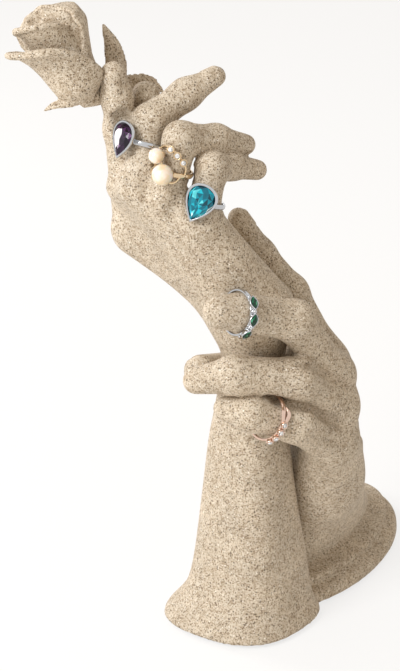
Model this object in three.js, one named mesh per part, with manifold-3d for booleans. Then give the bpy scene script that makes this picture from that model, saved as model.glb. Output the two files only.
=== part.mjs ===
// Hand jewelry display: two life-size hands cast in sand-textured resin. The raised right hand
// pinches a rose, the left hand clasps its wrist from behind, and five finger rings are on show.
// Millimetres, +Z up. The display faces -Y.
import * as THREE from "three";
import { mergeVertices } from "three/addons/utils/BufferGeometryUtils.js";
import Module from "manifold-3d";

const wasm = await Module();
wasm.setup();

// Driving dimensions

const DISPLAY_HEIGHT = 290.6; // from the floor to the tip of the bloom, and the size of everything else
const DRAWN_HEIGHT = 290.6; // the height of the display for which all values below are given
const SEAT_GAP = 0.8; // clearance where one casting is seated against another
const PINCH_GAP = 0.7; // clearance of the rose stem and leaf between index finger and thumb
const FIT_GAP = 0.3; // clearance of small fitted parts: rose, stones, pearls, rings
const PAD_THICKNESS = 1.5; // foam foot pads under the two castings
const PAD_INSET = 4; // how far a pad stays inside the rim it is stuck to
const HAND_FACET = 4.8; // facet size on the hands
const FOREARM_FACET = 8; // facet height on the plain forearms
const EVENING_TURNS = 3; // how often the facets are evened out
const EVENING_SHARE = 0.5; // how far each turn goes
const HALVINGS = 7; // how often a crossing of the surface is halved
const PROBE = 0.2; // how far to either side the slope of a form is felt
const LONGEST_PULL = 0.8;
const PALM_MELT = 9; // widths over which the clay of neighbouring bones melts together
const KNUCKLE_MELT = 4;
const WRIST_MELT = 14;
const CORNER_TURN = 8; // degrees by which the soft corners of a forearm are turned

const point = (x, y, z) => new THREE.Vector3(x, y, z);

// Raised right hand. A bone is its two ends with the flesh radius at each.

const raised = {
  web: 5, // how wide the clay melts between fingers and palm
  palm: [
    [point(24.5, -3, 160), point(0.5, -13, 202.2), 11.8, 8.4],
    [point(23.5, -1, 159.5), point(-13, -12, 212), 12.6, 8.4],
    [point(19.5, 2, 158.5), point(-25.5, -7, 216), 13.5, 8.6],
    [point(16, 6, 159.5), point(-30, 6, 211), 12.5, 8.6],
    [point(13.5, 9, 161), point(-26, 14, 188.5), 12.3, 11.7],
  ],
  fingers: {
    little: [[point(1, -15, 204), 7], [point(4.5, -11, 225), 6.4],
      [point(13, 0, 222), 5.4], [point(23.8, 9.4, 217), 4.3]],
    ring: [[point(-13.5, -14, 213), 7.2], [point(-8, -12, 238), 6.6],
      [point(6.5, 0, 233.5), 6], [point(18.8, 9.3, 228.2), 4.4]],
    middle: [[point(-25, -8, 217), 7.6], [point(-20.5, -2, 242), 7],
      [point(-6, 8, 250.5), 6.2], [point(6.4, 15.1, 256), 4.3]],
    index: [[point(-31, 8, 213), 7.4], [point(-33, 4, 236.5), 6.5],
      [point(-34, 0, 251.5), 6], [point(-35.2, -2, 262), 5.4]],
    thumb: [[point(-26, 14, 191), 9.8], [point(-30, 17, 215), 7.2],
      [point(-22.5, 11, 249), 6]],
  },
  forearm: [
    { z: -4, x: 19.5, y: 10, rx: 34.5, ry: 30.2, turn: 0, corners: 0.04 },
    { z: 3, x: 19.5, y: 10, rx: 34.5, ry: 30.2, turn: 0, corners: 0.04 },
    { z: 6, x: 19.5, y: 10, rx: 33, ry: 29.4, turn: 0, corners: 0.04 },
    { z: 12, x: 21, y: 10, rx: 29.4, ry: 27.6, turn: 0, corners: 0.045 },
    { z: 18, x: 22.3, y: 10, rx: 27, ry: 26, turn: 0, corners: 0.05 },
    { z: 31, x: 22.8, y: 10, rx: 24.6, ry: 24, turn: 0, corners: 0.05 },
    { z: 64, x: 22, y: 9, rx: 20.3, ry: 21, turn: 0, corners: 0.045 },
    { z: 93, x: 21.8, y: 7.5, rx: 17.4, ry: 18.2, turn: 0, corners: 0.03 },
    { z: 110, x: 22.5, y: 6.5, rx: 15.5, ry: 17, turn: 0, corners: 0.015 },
    { z: 131, x: 23.2, y: 5, rx: 13.8, ry: 16, turn: 0, corners: 0 },
    { z: 146, x: 23, y: 4, rx: 14, ry: 16, turn: 0, corners: 0 },
    { z: 158, x: 21, y: 2, rx: 12.5, ry: 13, turn: 0, corners: 0 },
  ],
};

// Left hand that clasps the raised wrist

const clasping = {
  web: 9, // how wide the clay melts between fingers and palm
  palm: [
    [point(57, 34, 66), point(57, 15, 124), 12, 8.4],
    [point(57, 30, 64), point(57.6, 6, 122), 12, 9],
    [point(56.5, 28, 62), point(58.4, 3, 107), 12.2, 9],
    [point(55.5, 26, 60), point(57.5, 4, 90), 12.2, 9],
    [point(50, 42, 72), point(36, 40, 100), 13, 10],
    [point(50, 32, 80), point(46, 17, 126), 12, 10.5],
  ],
  fingers: {
    index: [[point(54.2, 17, 128), 8], [point(40, 20, 157), 6.9],
      [point(26.4, 21, 174.4), 6], [point(16.6, 21, 190.8), 4.7]],
    middle: [[point(57.4, 3, 125), 8.4], [point(39.6, -14, 158), 8.5],
      [point(18, -26, 167), 8], [point(8, -30, 169), 7]],
    ring: [[point(59, 2, 110), 8.7], [point(41, -18, 133), 8.8],
      [point(15, -25, 138), 8], [point(-1.5, -22, 134), 5.8]],
    little: [[point(58.6, 4, 91), 9], [point(41, -20, 113.5), 8.8],
      [point(22, -26, 120.5), 7.6], [point(11, -24.5, 122), 5.4]],
    thumb: [[point(36, 40, 98), 9.5], [point(14, 30, 114.5), 8.4],
      [point(0.3, -4.5, 130.4), 7]],
  },
  forearm: [
    { z: -4, x: 53, y: 66.5, rx: 36, ry: 64, turn: 30, corners: 0 },
    { z: 4, x: 53, y: 66.5, rx: 36, ry: 64, turn: 30, corners: 0 },
    { z: 6.5, x: 53, y: 66.5, rx: 34.5, ry: 62.5, turn: 30, corners: 0 },
    { z: 8.5, x: 53, y: 66.5, rx: 31, ry: 59, turn: 30, corners: 0 },
    { z: 12, x: 53, y: 66.5, rx: 28.5, ry: 56, turn: 30, corners: 0 },
    { z: 14.5, x: 53, y: 66, rx: 22.5, ry: 49, turn: 30, corners: 0 },
    { z: 18, x: 53.5, y: 64, rx: 21, ry: 46, turn: 30, corners: 0 },
    { z: 30, x: 56, y: 55, rx: 19, ry: 36, turn: 28, corners: 0 },
    { z: 45, x: 58, y: 43, rx: 17, ry: 27, turn: 25, corners: 0 },
    { z: 56, x: 58.3, y: 35.5, rx: 15, ry: 20, turn: 18, corners: 0 },
    { z: 68, x: 58, y: 30, rx: 13.6, ry: 16, turn: 8, corners: 0 },
    { z: 78, x: 58, y: 25, rx: 11, ry: 13, turn: 0, corners: 0 },
  ],
};

// Rose held between index finger and thumb

const ROSE_BASE = point(-47.5, 0, 253.8);
const ROSE_AXIS = point(-0.48, -0.1, 0.87).normalize();
const ROSE_LEFT = point(-0.87, 0, -0.48); // the side of the bloom that hangs lowest
const PETAL_THICKNESS = 1.9;
const PETAL_SPIRAL = 0.07; // each petal starts inside its neighbour and ends outside the next
const PETAL_COLUMNS = 13;
const LEAF_ROWS = 7;
const CALYX = { radius: 9.6, thickness: 4.5 };
const STEM_SIDES = 10;

// The stem from the bloom to the pinch: spots with the radius at each.
const stem = [
  [point(-48, 0, 252.5), 5.2],
  [point(-42.5, 3, 251.8), 4.5],
  [point(-37, 8, 251), 3.2],
  [point(-31, 7, 249.5), 1.8],
];

// A petal faces a side (degrees from ROSE_LEFT towards the front) and spreads to both sides of it.
// Its radii are given for these shares of its height. Its sides drop lower than its middle, its far
// side is spiralled out and tucked in again, and its pointed tip rises and reaches out.
const petalShares = [0, 0.05, 0.14, 0.32, 0.52, 0.7, 0.86, 1];
const petals = [
  { side: 48, spread: 112, height: 31, drop: 0.85, offset: 0, spiral: PETAL_SPIRAL, tuck: 0,
    radii: [5, 8.8, 10.8, 11.1, 11.6, 12.6, 13.8, 15], tip: { side: 12, width: 46, rise: 2.6, reach: 5.2 } },
  { side: 240, spread: 90, height: 39.2, drop: 0.16, offset: 0, spiral: -0.05, tuck: 0.6,
    radii: [5, 8.8, 10.8, 12.5, 15.2, 17.4, 16, 4], tip: { side: 230, width: 60, rise: 0.4, reach: 0 } },
  { side: 60, spread: 98, height: 39, drop: 0.26, offset: 0.6, spiral: 0.26, tuck: 0,
    radii: [4, 7, 8.6, 9.2, 9.8, 10, 9.8, 9], tip: { side: 10, width: 36, rise: 0.8, reach: 2.2 } },
  { side: 284, spread: 62, height: 28, drop: 0.35, offset: 0, spiral: PETAL_SPIRAL, tuck: 0,
    radii: [5, 8.8, 10.6, 10.8, 11, 11.4, 11.8, 12.2], tip: { side: 300, width: 36, rise: 1, reach: 1 } },
  { side: 340, spread: 165, height: 38, drop: 0.06, offset: 0.8, spiral: PETAL_SPIRAL, tuck: 0,
    radii: [2, 3, 4, 4.6, 4.9, 4.9, 4.7, 4.2], tip: { side: 300, width: 30, rise: 0, reach: 0 } },
];

// A leaf: its middle line, half width, thickness and the direction that its face looks.
const leaves = [
  { path: [point(-34.4, 7, 248.5), point(-34.4, 7.5, 260), point(-35.6, 8, 270), point(-39.6, 8, 280.5)],
    width: 5, thickness: 3, face: point(0.25, -1, 0.1) },
  { path: [point(-46, -2, 252), point(-52.5, -5, 251), point(-59, -6, 250.2), point(-63.8, -6, 247.6)],
    width: 2.6, thickness: 2.2, face: point(0.2, -0.6, 0.9) },
  { path: [point(-45, 4, 253), point(-49, 11, 251), point(-55, 17, 251), point(-61, 21, 255)],
    width: 4, thickness: 2.2, face: point(-0.5, 0.4, 0.8) },
];

// Rings. A ring sits on the bone of a finger at a share of its length. It is tilted from the line of
// the bone towards a direction, its head is turned to a side, and it slides along the bone. Slack is
// extra room for the finger, and the collar is how far ornaments stand out to both sides of its band.

const RING_WALL = 1.2;
const RING_WIDTH = 2.2;
const RING_SIDES = 24;
const COLLET_WALL = 0.7;
const WIRE_RADIUS = 0.55;
const CHANNEL_GAP = 0.6; // clearance of the sliding rings to the neighbouring fingers

const rings = {
  amethyst: { hand: raised, finger: "middle", bone: 0, share: 0.66, tilt: 4, slack: 0,
    toward: point(0.9, 0, 0.3), head: point(-0.8, -0.6, 0), travel: 4, collar: 0,
    room: { height: 6, halfWidth: 8.2, from: -8.8, to: 7.6 } },
  pearl: { hand: raised, finger: "ring", bone: 0, share: 0.48, tilt: 4, slack: 0,
    toward: point(0.9, 0, 0.3), head: point(-0.54, -0.84, 0), travel: 1.5, collar: 0,
    room: { height: 11, halfWidth: 8.5, from: -5, to: 12 } },
  topaz: { hand: raised, finger: "little", bone: 0, share: 0.36, tilt: 8, slack: 0,
    toward: point(0.9, 0, 0.3), head: point(-0.3, -0.95, 0), travel: 4, collar: 0,
    room: { height: 6.5, halfWidth: 7.6, from: -9, to: 8.5 } },
  emerald: { hand: clasping, finger: "middle", bone: 2, share: 0.24, tilt: 14, slack: 0.3,
    toward: point(0, -0.9, 0.44), head: point(0.49, -0.86, -0.14), travel: 5, collar: 0,
    room: { height: 4, halfWidth: 9.6, from: -3, to: 3 } },
  roseGold: { hand: clasping, finger: "little", bone: 1, share: 0.66, tilt: 20, slack: 0.3,
    toward: point(0, -0.9, 0.44), head: point(0.5, -0.8, -0.32), travel: 4, collar: 2,
    room: { height: 3.6, halfWidth: 9, from: -3.5, to: 4.5 } },
};

// Cuts of the stones, with their place on the head in y and z and the turn of their length.
const cuts = {
  amethyst: { kind: "pear", length: 14, width: 9.4, height: 3.8, y: -2.2, z: -0.6, turn: 266, corners: 16 },
  topaz: { kind: "pear", length: 15, width: 11.4, height: 4.4, y: 0, z: 0, turn: 260, corners: 16 },
  emerald: { kind: "marquise", length: 4.3, width: 3, height: 2, y: 0, z: 0, turn: 0, corners: 10 },
  accent: { kind: "round", length: 1.3, width: 1.3, height: 1.4, y: 0, z: 0, turn: 0, corners: 8 },
  crystal: { kind: "round", length: 2.2, width: 2.2, height: 1.6, y: 0, z: 0, turn: 0, corners: 8 },
  spray: { kind: "round", length: 2.6, width: 2.6, height: 1.7, y: 0, z: 0, turn: 0, corners: 8 },
};
const PEAR_LIFT = 1.4; // height of a pear's culet above the finger
const SEAT_LIFT = 0.4; // height of a collet's foot above the finger
const EMERALD_TURNS = [-37, 0, 37];
const ACCENT_TURNS = [-18.5, 18.5];
const SPRAY_TURNS = [-34, -12, 10, 32];
const MOUTH = { width: 3.6, turn: 150 }; // the opening of the rose gold band

// Ornaments of the pearl ring and the rose gold ring. A spot is its angle round the finger, its
// place along it and its height above the band.
const smallPearl = { radius: 3.3, rise: 4, y: -2.8, z: 6 };
const largePearl = { radius: 4.4, rise: 5, y: 2.8, z: 0.1 };
const crystalSpots = [[8, 10.2], [27, 8.6], [45, 6.4]];
const wires = {
  bow: [[66, 0.2, -0.5], [60, 3.6, 0.3], [45, 6.4, 0.5], [27, 8.6, 0.5], [8, 10.2, 0.5], [-16, 10.2, 0.5],
    [-36, 7.4, 0.4], [-46, 3.6, 0.2], [-52, 0.4, -0.5]],
  bar: [[-41, 6, 0.3], [-24, 6, 0.5], [-12, 3.4, 0.3], [0, 0.4, -0.4]],
  hook: [[2, -0.2, -0.4], [14, -2, 0.2], [28, -3.4, 0.3], [42, -2.6, 0.1], [54, -0.2, -0.5]],
};
const metalLeaves = {
  pearl: [
    { spots: [[-20, 0, -0.2], [-25, -2.4, 0.5], [-22, -5, 1.2]], width: 1.5 },
    { spots: [[-32, 0, -0.2], [-38, -1.6, 0.4], [-38, -3.6, 0.9]], width: 1.2 },
  ],
  roseGold: [
    { spots: [[44, -0.4, -0.5], [58, 0.8, -0.2], [72, 1.8, -0.3]], width: 1.5 },
    { spots: [[66, -0.2, -0.5], [80, -0.6, -0.2], [94, -1.6, -0.3]], width: 1.3 },
  ],
};

// Clay forms. A form is a function of x, y and z, below zero inside and above zero outside.

// A rod with ball ends, tapering from radius ra at a to rb at b.
function roundCone(a, b, ra, rb) {
  const axis = b.clone().sub(a);
  const length2 = axis.lengthSq();
  const taper = ra - rb;
  const slant2 = length2 - taper * taper;
  return (x, y, z) => {
    const px = x - a.x;
    const py = y - a.y;
    const pz = z - a.z;
    const along = px * axis.x + py * axis.y + pz * axis.z;
    const beyond = along - length2;
    const across = length2 * (px * px + py * py + pz * pz) - along * along;
    const bend = Math.sign(taper) * taper * taper * across;
    if (Math.sign(beyond) * slant2 * beyond * beyond > bend) {
      return Math.sqrt((across + beyond * beyond) / length2) - rb;
    }
    if (Math.sign(along) * slant2 * along * along < bend) {
      return Math.sqrt((across + along * along) / length2) - ra;
    }
    return (Math.sqrt(across * slant2) + along * taper) / length2 - ra;
  };
}

// Value at z of one field of a list of sections, on a smooth curve through them.
function sectionAt(sections, z) {
  const last = sections.length - 1;
  let i = 0;
  while (i < last - 1 && z > sections[i + 1].z) i += 1;
  const lower = sections[i];
  const upper = sections[i + 1];
  const before = sections[Math.max(i - 1, 0)];
  const after = sections[Math.min(i + 2, last)];
  const span = upper.z - lower.z;
  const t = Math.min(Math.max((z - lower.z) / span, 0), 1);
  const slope = (from, to, key) => (to === from ? 0 : ((to[key] - from[key]) / (to.z - from.z)) * span);
  const mix = (key) => {
    const start = slope(before, upper, key);
    const end = slope(lower, after, key);
    const rise = upper[key] - lower[key];
    return lower[key] + t * (start + t * ((3 * rise - 2 * start - end) + t * (start + end - 2 * rise)));
  };
  const turn = THREE.MathUtils.degToRad(mix("turn"));
  return { x: mix("x"), y: mix("y"), rx: mix("rx"), ry: mix("ry"), turn, corners: mix("corners") };
}

// A stack of elliptical sections with up to four soft corners, closed by a flat bottom and top.
function limb(sections) {
  const bottom = sections[0].z;
  const top = sections[sections.length - 1].z;
  return (x, y, z) => {
    const s = sectionAt(sections, z);
    const across = ((x - s.x) * Math.cos(s.turn) - (y - s.y) * Math.sin(s.turn)) / s.rx;
    const along = ((x - s.x) * Math.sin(s.turn) + (y - s.y) * Math.cos(s.turn)) / s.ry;
    const around = Math.atan2(along, across) - THREE.MathUtils.degToRad(CORNER_TURN);
    const ratio = Math.hypot(across, along) / (1 + s.corners * Math.cos(4 * around));
    return Math.max((ratio - 1) * Math.min(s.rx, s.ry), z - top, bottom - z);
  };
}

// Smooth union: values closer than the width melt into each other.
function melted(width, near, next) {
  const overlap = Math.max(width - Math.abs(near - next), 0) / width;
  return Math.min(near, next) - (overlap * overlap * width) / 4;
}

const melt = (width, forms) => (x, y, z) => {
  return forms.slice(1).reduce((near, form) => melted(width, near, form(x, y, z)), forms[0](x, y, z));
};

// The form less everything closer than the gap to the other form.
const clearOf = (form, other, gap) => (x, y, z) => Math.max(form(x, y, z), gap - other(x, y, z));

// One hand on its forearm, as a form. The fingers melt into the palm but not into each other.
function handForm(hand) {
  const palm = melt(PALM_MELT, hand.palm.map((bone) => roundCone(...bone)));
  const arm = melt(WRIST_MELT, [palm, limb(hand.forearm)]);
  const fingers = Object.values(hand.fingers).map((joints) => {
    const bones = joints.slice(1).map(([end, radius], i) => {
      return roundCone(joints[i][0], end, joints[i][1], radius);
    });
    return melt(KNUCKLE_MELT, bones);
  });
  return (x, y, z) => {
    const near = arm(x, y, z);
    const webbed = (finger) => melted(hand.web, near, finger(x, y, z));
    return fingers.reduce((nearest, finger) => Math.min(nearest, webbed(finger)), near);
  };
}

// Turns a form into a closed mesh. Each grid cell that the surface crosses gets one vertex for each
// sheet of the surface in it, pulled onto the surface, and each crossed grid edge gets a facet.
function skin(form, [xs, ys, zs]) {
  const axes = [xs, ys, zs];
  const count = axes.map((a) => a.length);
  const stride = [1, count[0], count[0] * count[1]];
  const values = new Float64Array(count[0] * count[1] * count[2]);
  const node = (i, j, k) => i + j * stride[1] + k * stride[2];
  for (let k = 0; k < count[2]; k += 1) {
    for (let j = 0; j < count[1]; j += 1) {
      for (let i = 0; i < count[0]; i += 1) values[node(i, j, k)] = form(xs[i], ys[j], zs[k]);
    }
  }
  const vertices = [];
  const sheetOf = new Map();
  const crossings = new Map();
  const bit = (corner, axis) => (corner >> axis % 3) & 1;
  const edgeId = (axis, corner) => axis * 4 + bit(corner, axis + 1) + 2 * bit(corner, axis + 2);

  // Joins the crossed edges of one cell into sheets, face by face.
  function sheetsInCell(i, j, k) {
    const inside = [];
    for (let c = 0; c < 8; c += 1) inside.push(values[node(i + bit(c, 0), j + bit(c, 1), k + bit(c, 2))] < 0);
    if (inside.every((side) => side === inside[0])) return;
    const parent = Array.from({ length: 12 }, (_, e) => e);
    const root = (e) => (parent[e] === e ? e : root(parent[e]));
    for (let axis = 0; axis < 3; axis += 1) {
      const u = 1 << (axis + 1) % 3;
      const w = 1 << (axis + 2) % 3;
      for (const base of [0, 1 << axis]) {
        const corners = [base, base | u, base | u | w, base | w];
        const edges = [edgeId((axis + 1) % 3, base), edgeId((axis + 2) % 3, base | u),
          edgeId((axis + 1) % 3, base | w), edgeId((axis + 2) % 3, base)];
        const crossed = edges.filter((_, n) => inside[corners[n]] !== inside[corners[(n + 1) % 4]]);
        if (crossed.length === 2) parent[root(crossed[0])] = root(crossed[1]);
        if (crossed.length === 4) {
          corners.forEach((corner, n) => {
            if (inside[corner]) parent[root(edges[n])] = root(edges[(n + 3) % 4]);
          });
        }
      }
    }
    const sheets = new Map();
    for (let axis = 0; axis < 3; axis += 1) {
      for (let c = 0; c < 8; c += 1) {
        const far = c | (1 << axis);
        if (far === c || inside[c] === inside[far]) continue;
        const e = edgeId(axis, c);
        const at = [i + bit(c, 0), j + bit(c, 1), k + bit(c, 2)];
        const spot = [xs[at[0]], ys[at[1]], zs[at[2]]];
        const edge = node(...at) * 3 + axis;
        if (!crossings.has(edge)) {
          crossings.set(edge, crossing(form, spot, axis, axes[axis][at[axis] + 1], inside[c]));
        }
        spot[axis] = crossings.get(edge);
        const key = root(e);
        if (!sheets.has(key)) sheets.set(key, { sum: [0, 0, 0], edges: [] });
        const sheet = sheets.get(key);
        spot.forEach((value, n) => { sheet.sum[n] += value; });
        sheet.edges.push(e);
      }
    }
    for (const { sum, edges } of sheets.values()) {
      edges.forEach((e) => sheetOf.set(node(i, j, k) * 12 + e, vertices.length));
      vertices.push(pulledOnto(form, sum.map((value) => value / edges.length)));
    }
  }
  for (let k = 0; k < count[2] - 1; k += 1) {
    for (let j = 0; j < count[1] - 1; j += 1) {
      for (let i = 0; i < count[0] - 1; i += 1) sheetsInCell(i, j, k);
    }
  }

  const indices = [];
  const gap2 = (a, b) => (a[0] - b[0]) ** 2 + (a[1] - b[1]) ** 2 + (a[2] - b[2]) ** 2;
  for (let k = 1; k < count[2] - 1; k += 1) {
    for (let j = 1; j < count[1] - 1; j += 1) {
      for (let i = 1; i < count[0] - 1; i += 1) {
        const here = node(i, j, k);
        for (let axis = 0; axis < 3; axis += 1) {
          if (values[here] < 0 === values[here + stride[axis]] < 0) continue;
          const u = (axis + 1) % 3;
          const w = (axis + 2) % 3;
          const ring = [[0, 0], [1, 0], [1, 1], [0, 1]].map(([a, b]) => {
            return sheetOf.get((here - a * stride[u] - b * stride[w]) * 12 + axis * 4 + a + 2 * b);
          });
          if (values[here] >= 0) ring.reverse();
          const [a, b, c, d] = ring;
          const short = gap2(vertices[a], vertices[c]) < gap2(vertices[b], vertices[d]);
          indices.push(...(short ? [a, b, c, a, c, d] : [a, b, d, b, c, d]));
        }
      }
    }
  }
  const geometry = new THREE.BufferGeometry();
  const spots = evened(form, vertices, indices).flat();
  geometry.setAttribute("position", new THREE.Float32BufferAttribute(spots, 3));
  geometry.setIndex(indices);
  return geometry;
}

// Slides the vertices along the surface until the facets are of like size.
function evened(form, vertices, indices) {
  let spots = vertices;
  for (let turn = 0; turn < EVENING_TURNS; turn += 1) {
    const sums = spots.map(() => [0, 0, 0, 0]);
    indices.forEach((from, n) => {
      const next = indices[n % 3 === 2 ? n - 2 : n + 1];
      spots[next].forEach((value, axis) => { sums[from][axis] += value; });
      sums[from][3] += 1;
    });
    spots = spots.map((spot, n) => {
      const [x, y, z, weight] = sums[n];
      const middle = [x / weight, y / weight, z / weight];
      return pulledOnto(form, spot.map((value, axis) => value + (middle[axis] - value) * EVENING_SHARE));
    });
  }
  return spots;
}

// Where the surface crosses the grid edge that starts at a spot, by halving.
function crossing(form, spot, axis, end, startsInside) {
  let near = spot[axis];
  let far = end;
  const at = spot.slice();
  for (let turn = 0; turn < HALVINGS; turn += 1) {
    at[axis] = (near + far) / 2;
    if (form(...at) < 0 === startsInside) near = at[axis];
    else far = at[axis];
  }
  return (near + far) / 2;
}

// Moves a point that is close to the surface onto it, along the slope of the form.
function pulledOnto(form, [x, y, z]) {
  const value = form(x, y, z);
  const gx = (form(x + PROBE, y, z) - form(x - PROBE, y, z)) / (2 * PROBE);
  const gy = (form(x, y + PROBE, z) - form(x, y - PROBE, z)) / (2 * PROBE);
  const gz = (form(x, y, z + PROBE) - form(x, y, z - PROBE)) / (2 * PROBE);
  const steep = Math.hypot(gx, gy, gz);
  const step = Math.min(Math.max(value / steep, -LONGEST_PULL), LONGEST_PULL) / steep;
  return [x - gx * step, y - gy * step, z - gz * step];
}

// Grid lines from low to high, no further apart than the step.
function gridLines(low, high, step) {
  const cells = Math.ceil((high - low) / step);
  return Array.from({ length: cells + 1 }, (_, i) => low + ((high - low) * i) / cells);
}

// Joins and cuts

function toSolid(geometry) {
  const bare = new THREE.BufferGeometry();
  bare.setAttribute("position", geometry.getAttribute("position"));
  if (geometry.index) bare.setIndex(geometry.index);
  const merged = mergeVertices(bare, 1e-4);
  return new wasm.Manifold(new wasm.Mesh({
    numProp: 3,
    vertProperties: new Float32Array(merged.getAttribute("position").array),
    triVerts: new Uint32Array(merged.index.array),
  }));
}

function toGeometry(solid) {
  const mesh = solid.getMesh();
  const geometry = new THREE.BufferGeometry();
  geometry.setAttribute("position", new THREE.BufferAttribute(mesh.vertProperties, 3));
  geometry.setIndex(new THREE.BufferAttribute(mesh.triVerts, 1));
  return geometry;
}

// The part of a solid that stands above the foot pads.
function standOnPads(geometry) {
  const size = 600;
  const below = new THREE.BoxGeometry(size, size, size).translate(0, 0, PAD_THICKNESS - size / 2);
  return toSolid(geometry).subtract(toSolid(below));
}

// Turns a closed geometry inside out if its faces point inwards.
function facingOut(geometry) {
  const spots = geometry.getAttribute("position");
  const index = geometry.index;
  const [a, b, c] = [new THREE.Vector3(), new THREE.Vector3(), new THREE.Vector3()];
  let volume = 0;
  for (let n = 0; n < index.count; n += 3) {
    a.fromBufferAttribute(spots, index.getX(n));
    b.fromBufferAttribute(spots, index.getX(n + 1));
    c.fromBufferAttribute(spots, index.getX(n + 2));
    volume += a.dot(b.cross(c));
  }
  if (volume < 0) geometry.setIndex(Array.from(index.array).reverse());
  return geometry;
}

// A closed skin over a row of loops of points, each loop with as many points as the next.
// The ends are closed by fans, or by strips where a loop runs out and back along two faces.
function loft(loops, twoFaces = false) {
  const around = loops[0].length;
  const last = (loops.length - 1) * around;
  const indices = [];
  for (let row = 0; row < last; row += around) {
    for (let n = 0; n < around; n += 1) {
      const a = row + n;
      const b = row + ((n + 1) % around);
      indices.push(a, b, b + around, a, b + around, a + around);
    }
  }
  for (let n = 0; twoFaces && n < around / 2 - 1; n += 1) {
    const [a, b, c, d] = [n, n + 1, around - 2 - n, around - 1 - n];
    indices.push(a, c, b, a, d, c);
    indices.push(last + a, last + b, last + c, last + a, last + c, last + d);
  }
  for (let n = 1; !twoFaces && n < around - 1; n += 1) {
    indices.push(0, n + 1, n);
    indices.push(last, last + n, last + n + 1);
  }
  const geometry = new THREE.BufferGeometry();
  const flat = loops.flat().flatMap((spot) => [spot.x, spot.y, spot.z]);
  geometry.setAttribute("position", new THREE.Float32BufferAttribute(flat, 3));
  geometry.setIndex(indices);
  return facingOut(geometry);
}

const joined = (geometries) => geometries.map(toSolid).reduce((whole, solid) => whole.add(solid));

// Rose

const roseFront = new THREE.Vector3().crossVectors(ROSE_AXIS, ROSE_LEFT).normalize();
const roseLeft = new THREE.Vector3().crossVectors(roseFront, ROSE_AXIS).normalize();

// The radius of a petal at a share of its height.
function radiusAt(radii, share) {
  const above = Math.max(1, petalShares.findIndex((next) => next >= share));
  const t = (share - petalShares[above - 1]) / (petalShares[above] - petalShares[above - 1]);
  return THREE.MathUtils.lerp(radii[above - 1], radii[above], t);
}

// A spot of a petal: a row of its radii, v across it from -1 to 1, and a depth into the cup.
function petalSpot(petal, row, v, depth) {
  const { side, spread, height, drop, offset, spiral, tuck, radii, tip } = petal;
  const u = petalShares[row];
  const degrees = side + v * spread;
  const angle = THREE.MathUtils.degToRad(degrees);
  const nearTip = Math.max(0, 1 - Math.abs(degrees - tip.side) / tip.width) * u ** 4;
  const share = u * (1 - drop * Math.abs(v) ** 2.2);
  const wound = (1 + spiral * v) * (1 - tuck * Math.max(v, 0) ** 2);
  const radius = radiusAt(radii, share) * wound - depth + tip.reach * nearTip;
  const rise = height * share + tip.rise * nearTip;
  return ROSE_BASE.clone()
    .addScaledVector(ROSE_AXIS, rise)
    .addScaledVector(roseLeft, radius * Math.cos(angle) + offset * u)
    .addScaledVector(roseFront, radius * Math.sin(angle));
}

// A petal is a closed skin: each loop runs across its outer face and back across its inner face.
function petalGeometry(petal) {
  const across = Array.from({ length: PETAL_COLUMNS + 1 }, (_, n) => (2 * n) / PETAL_COLUMNS - 1);
  const loops = petalShares.map((_, row) => [
    ...across.map((v) => petalSpot(petal, row, v, 0)),
    ...across.map((v) => petalSpot(petal, row, -v, PETAL_THICKNESS)),
  ]);
  return loft(loops, true);
}

// A leaf is a lens-shaped section along a curved middle line, widest below its middle.
function leafGeometry({ path, width, thickness, face }) {
  const line = new THREE.CatmullRomCurve3(path);
  const section = [[-1, 0], [-0.5, -0.4], [0, -0.25], [0.5, -0.4], [1, 0], [0.5, 0.6], [0, 0.5], [-0.5, 0.6]];
  const loops = [];
  for (let row = 0; row <= LEAF_ROWS; row += 1) {
    const t = row / LEAF_ROWS;
    const ahead = line.getTangent(t);
    const side = new THREE.Vector3().crossVectors(ahead, face).normalize();
    const out = new THREE.Vector3().crossVectors(side, ahead).normalize();
    const swell = Math.sin(Math.PI * (0.2 + 0.78 * t)) ** 0.8;
    loops.push(section.map(([a, b]) => line.getPoint(t)
      .addScaledVector(side, a * width * swell)
      .addScaledVector(out, b * thickness * Math.sqrt(swell))));
  }
  return loft(loops);
}

// A round rod along spots with the radius at each.
function rod(path, sides) {
  const line = new THREE.CatmullRomCurve3(path.map(([spot]) => spot));
  const rows = 2 * (path.length - 1);
  const loops = [];
  for (let row = 0; row <= rows; row += 1) {
    const before = Math.min(Math.floor(row / 2), path.length - 2);
    const radius = THREE.MathUtils.lerp(path[before][1], path[before + 1][1], row / 2 - before);
    const ahead = line.getTangent(row / rows);
    const side = new THREE.Vector3().crossVectors(ahead, point(0, 0, 1)).normalize();
    const up = new THREE.Vector3().crossVectors(side, ahead);
    const centre = line.getPoint(row / rows);
    loops.push(Array.from({ length: sides }, (_, n) => {
      const angle = (2 * Math.PI * n) / sides;
      return centre.clone()
        .addScaledVector(side, radius * Math.cos(angle))
        .addScaledVector(up, radius * Math.sin(angle));
    }));
  }
  return loft(loops);
}

function roseSolid() {
  const calyx = new THREE.SphereGeometry(1, 16, 8).scale(CALYX.radius, CALYX.thickness, CALYX.radius);
  calyx.applyQuaternion(new THREE.Quaternion().setFromUnitVectors(point(0, 1, 0), ROSE_AXIS));
  const seat = ROSE_BASE.clone().addScaledVector(ROSE_AXIS, CALYX.thickness / 2);
  calyx.translate(seat.x, seat.y, seat.z);
  return joined([rod(stem, STEM_SIDES), calyx, ...petals.map(petalGeometry), ...leaves.map(leafGeometry)]);
}

// The outer skin of a solid alone, so that no hollow is sealed inside it.
function outerBody(solid) {
  return solid.decompose().reduce((largest, body) => (body.volume() > largest.volume() ? body : largest));
}

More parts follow.
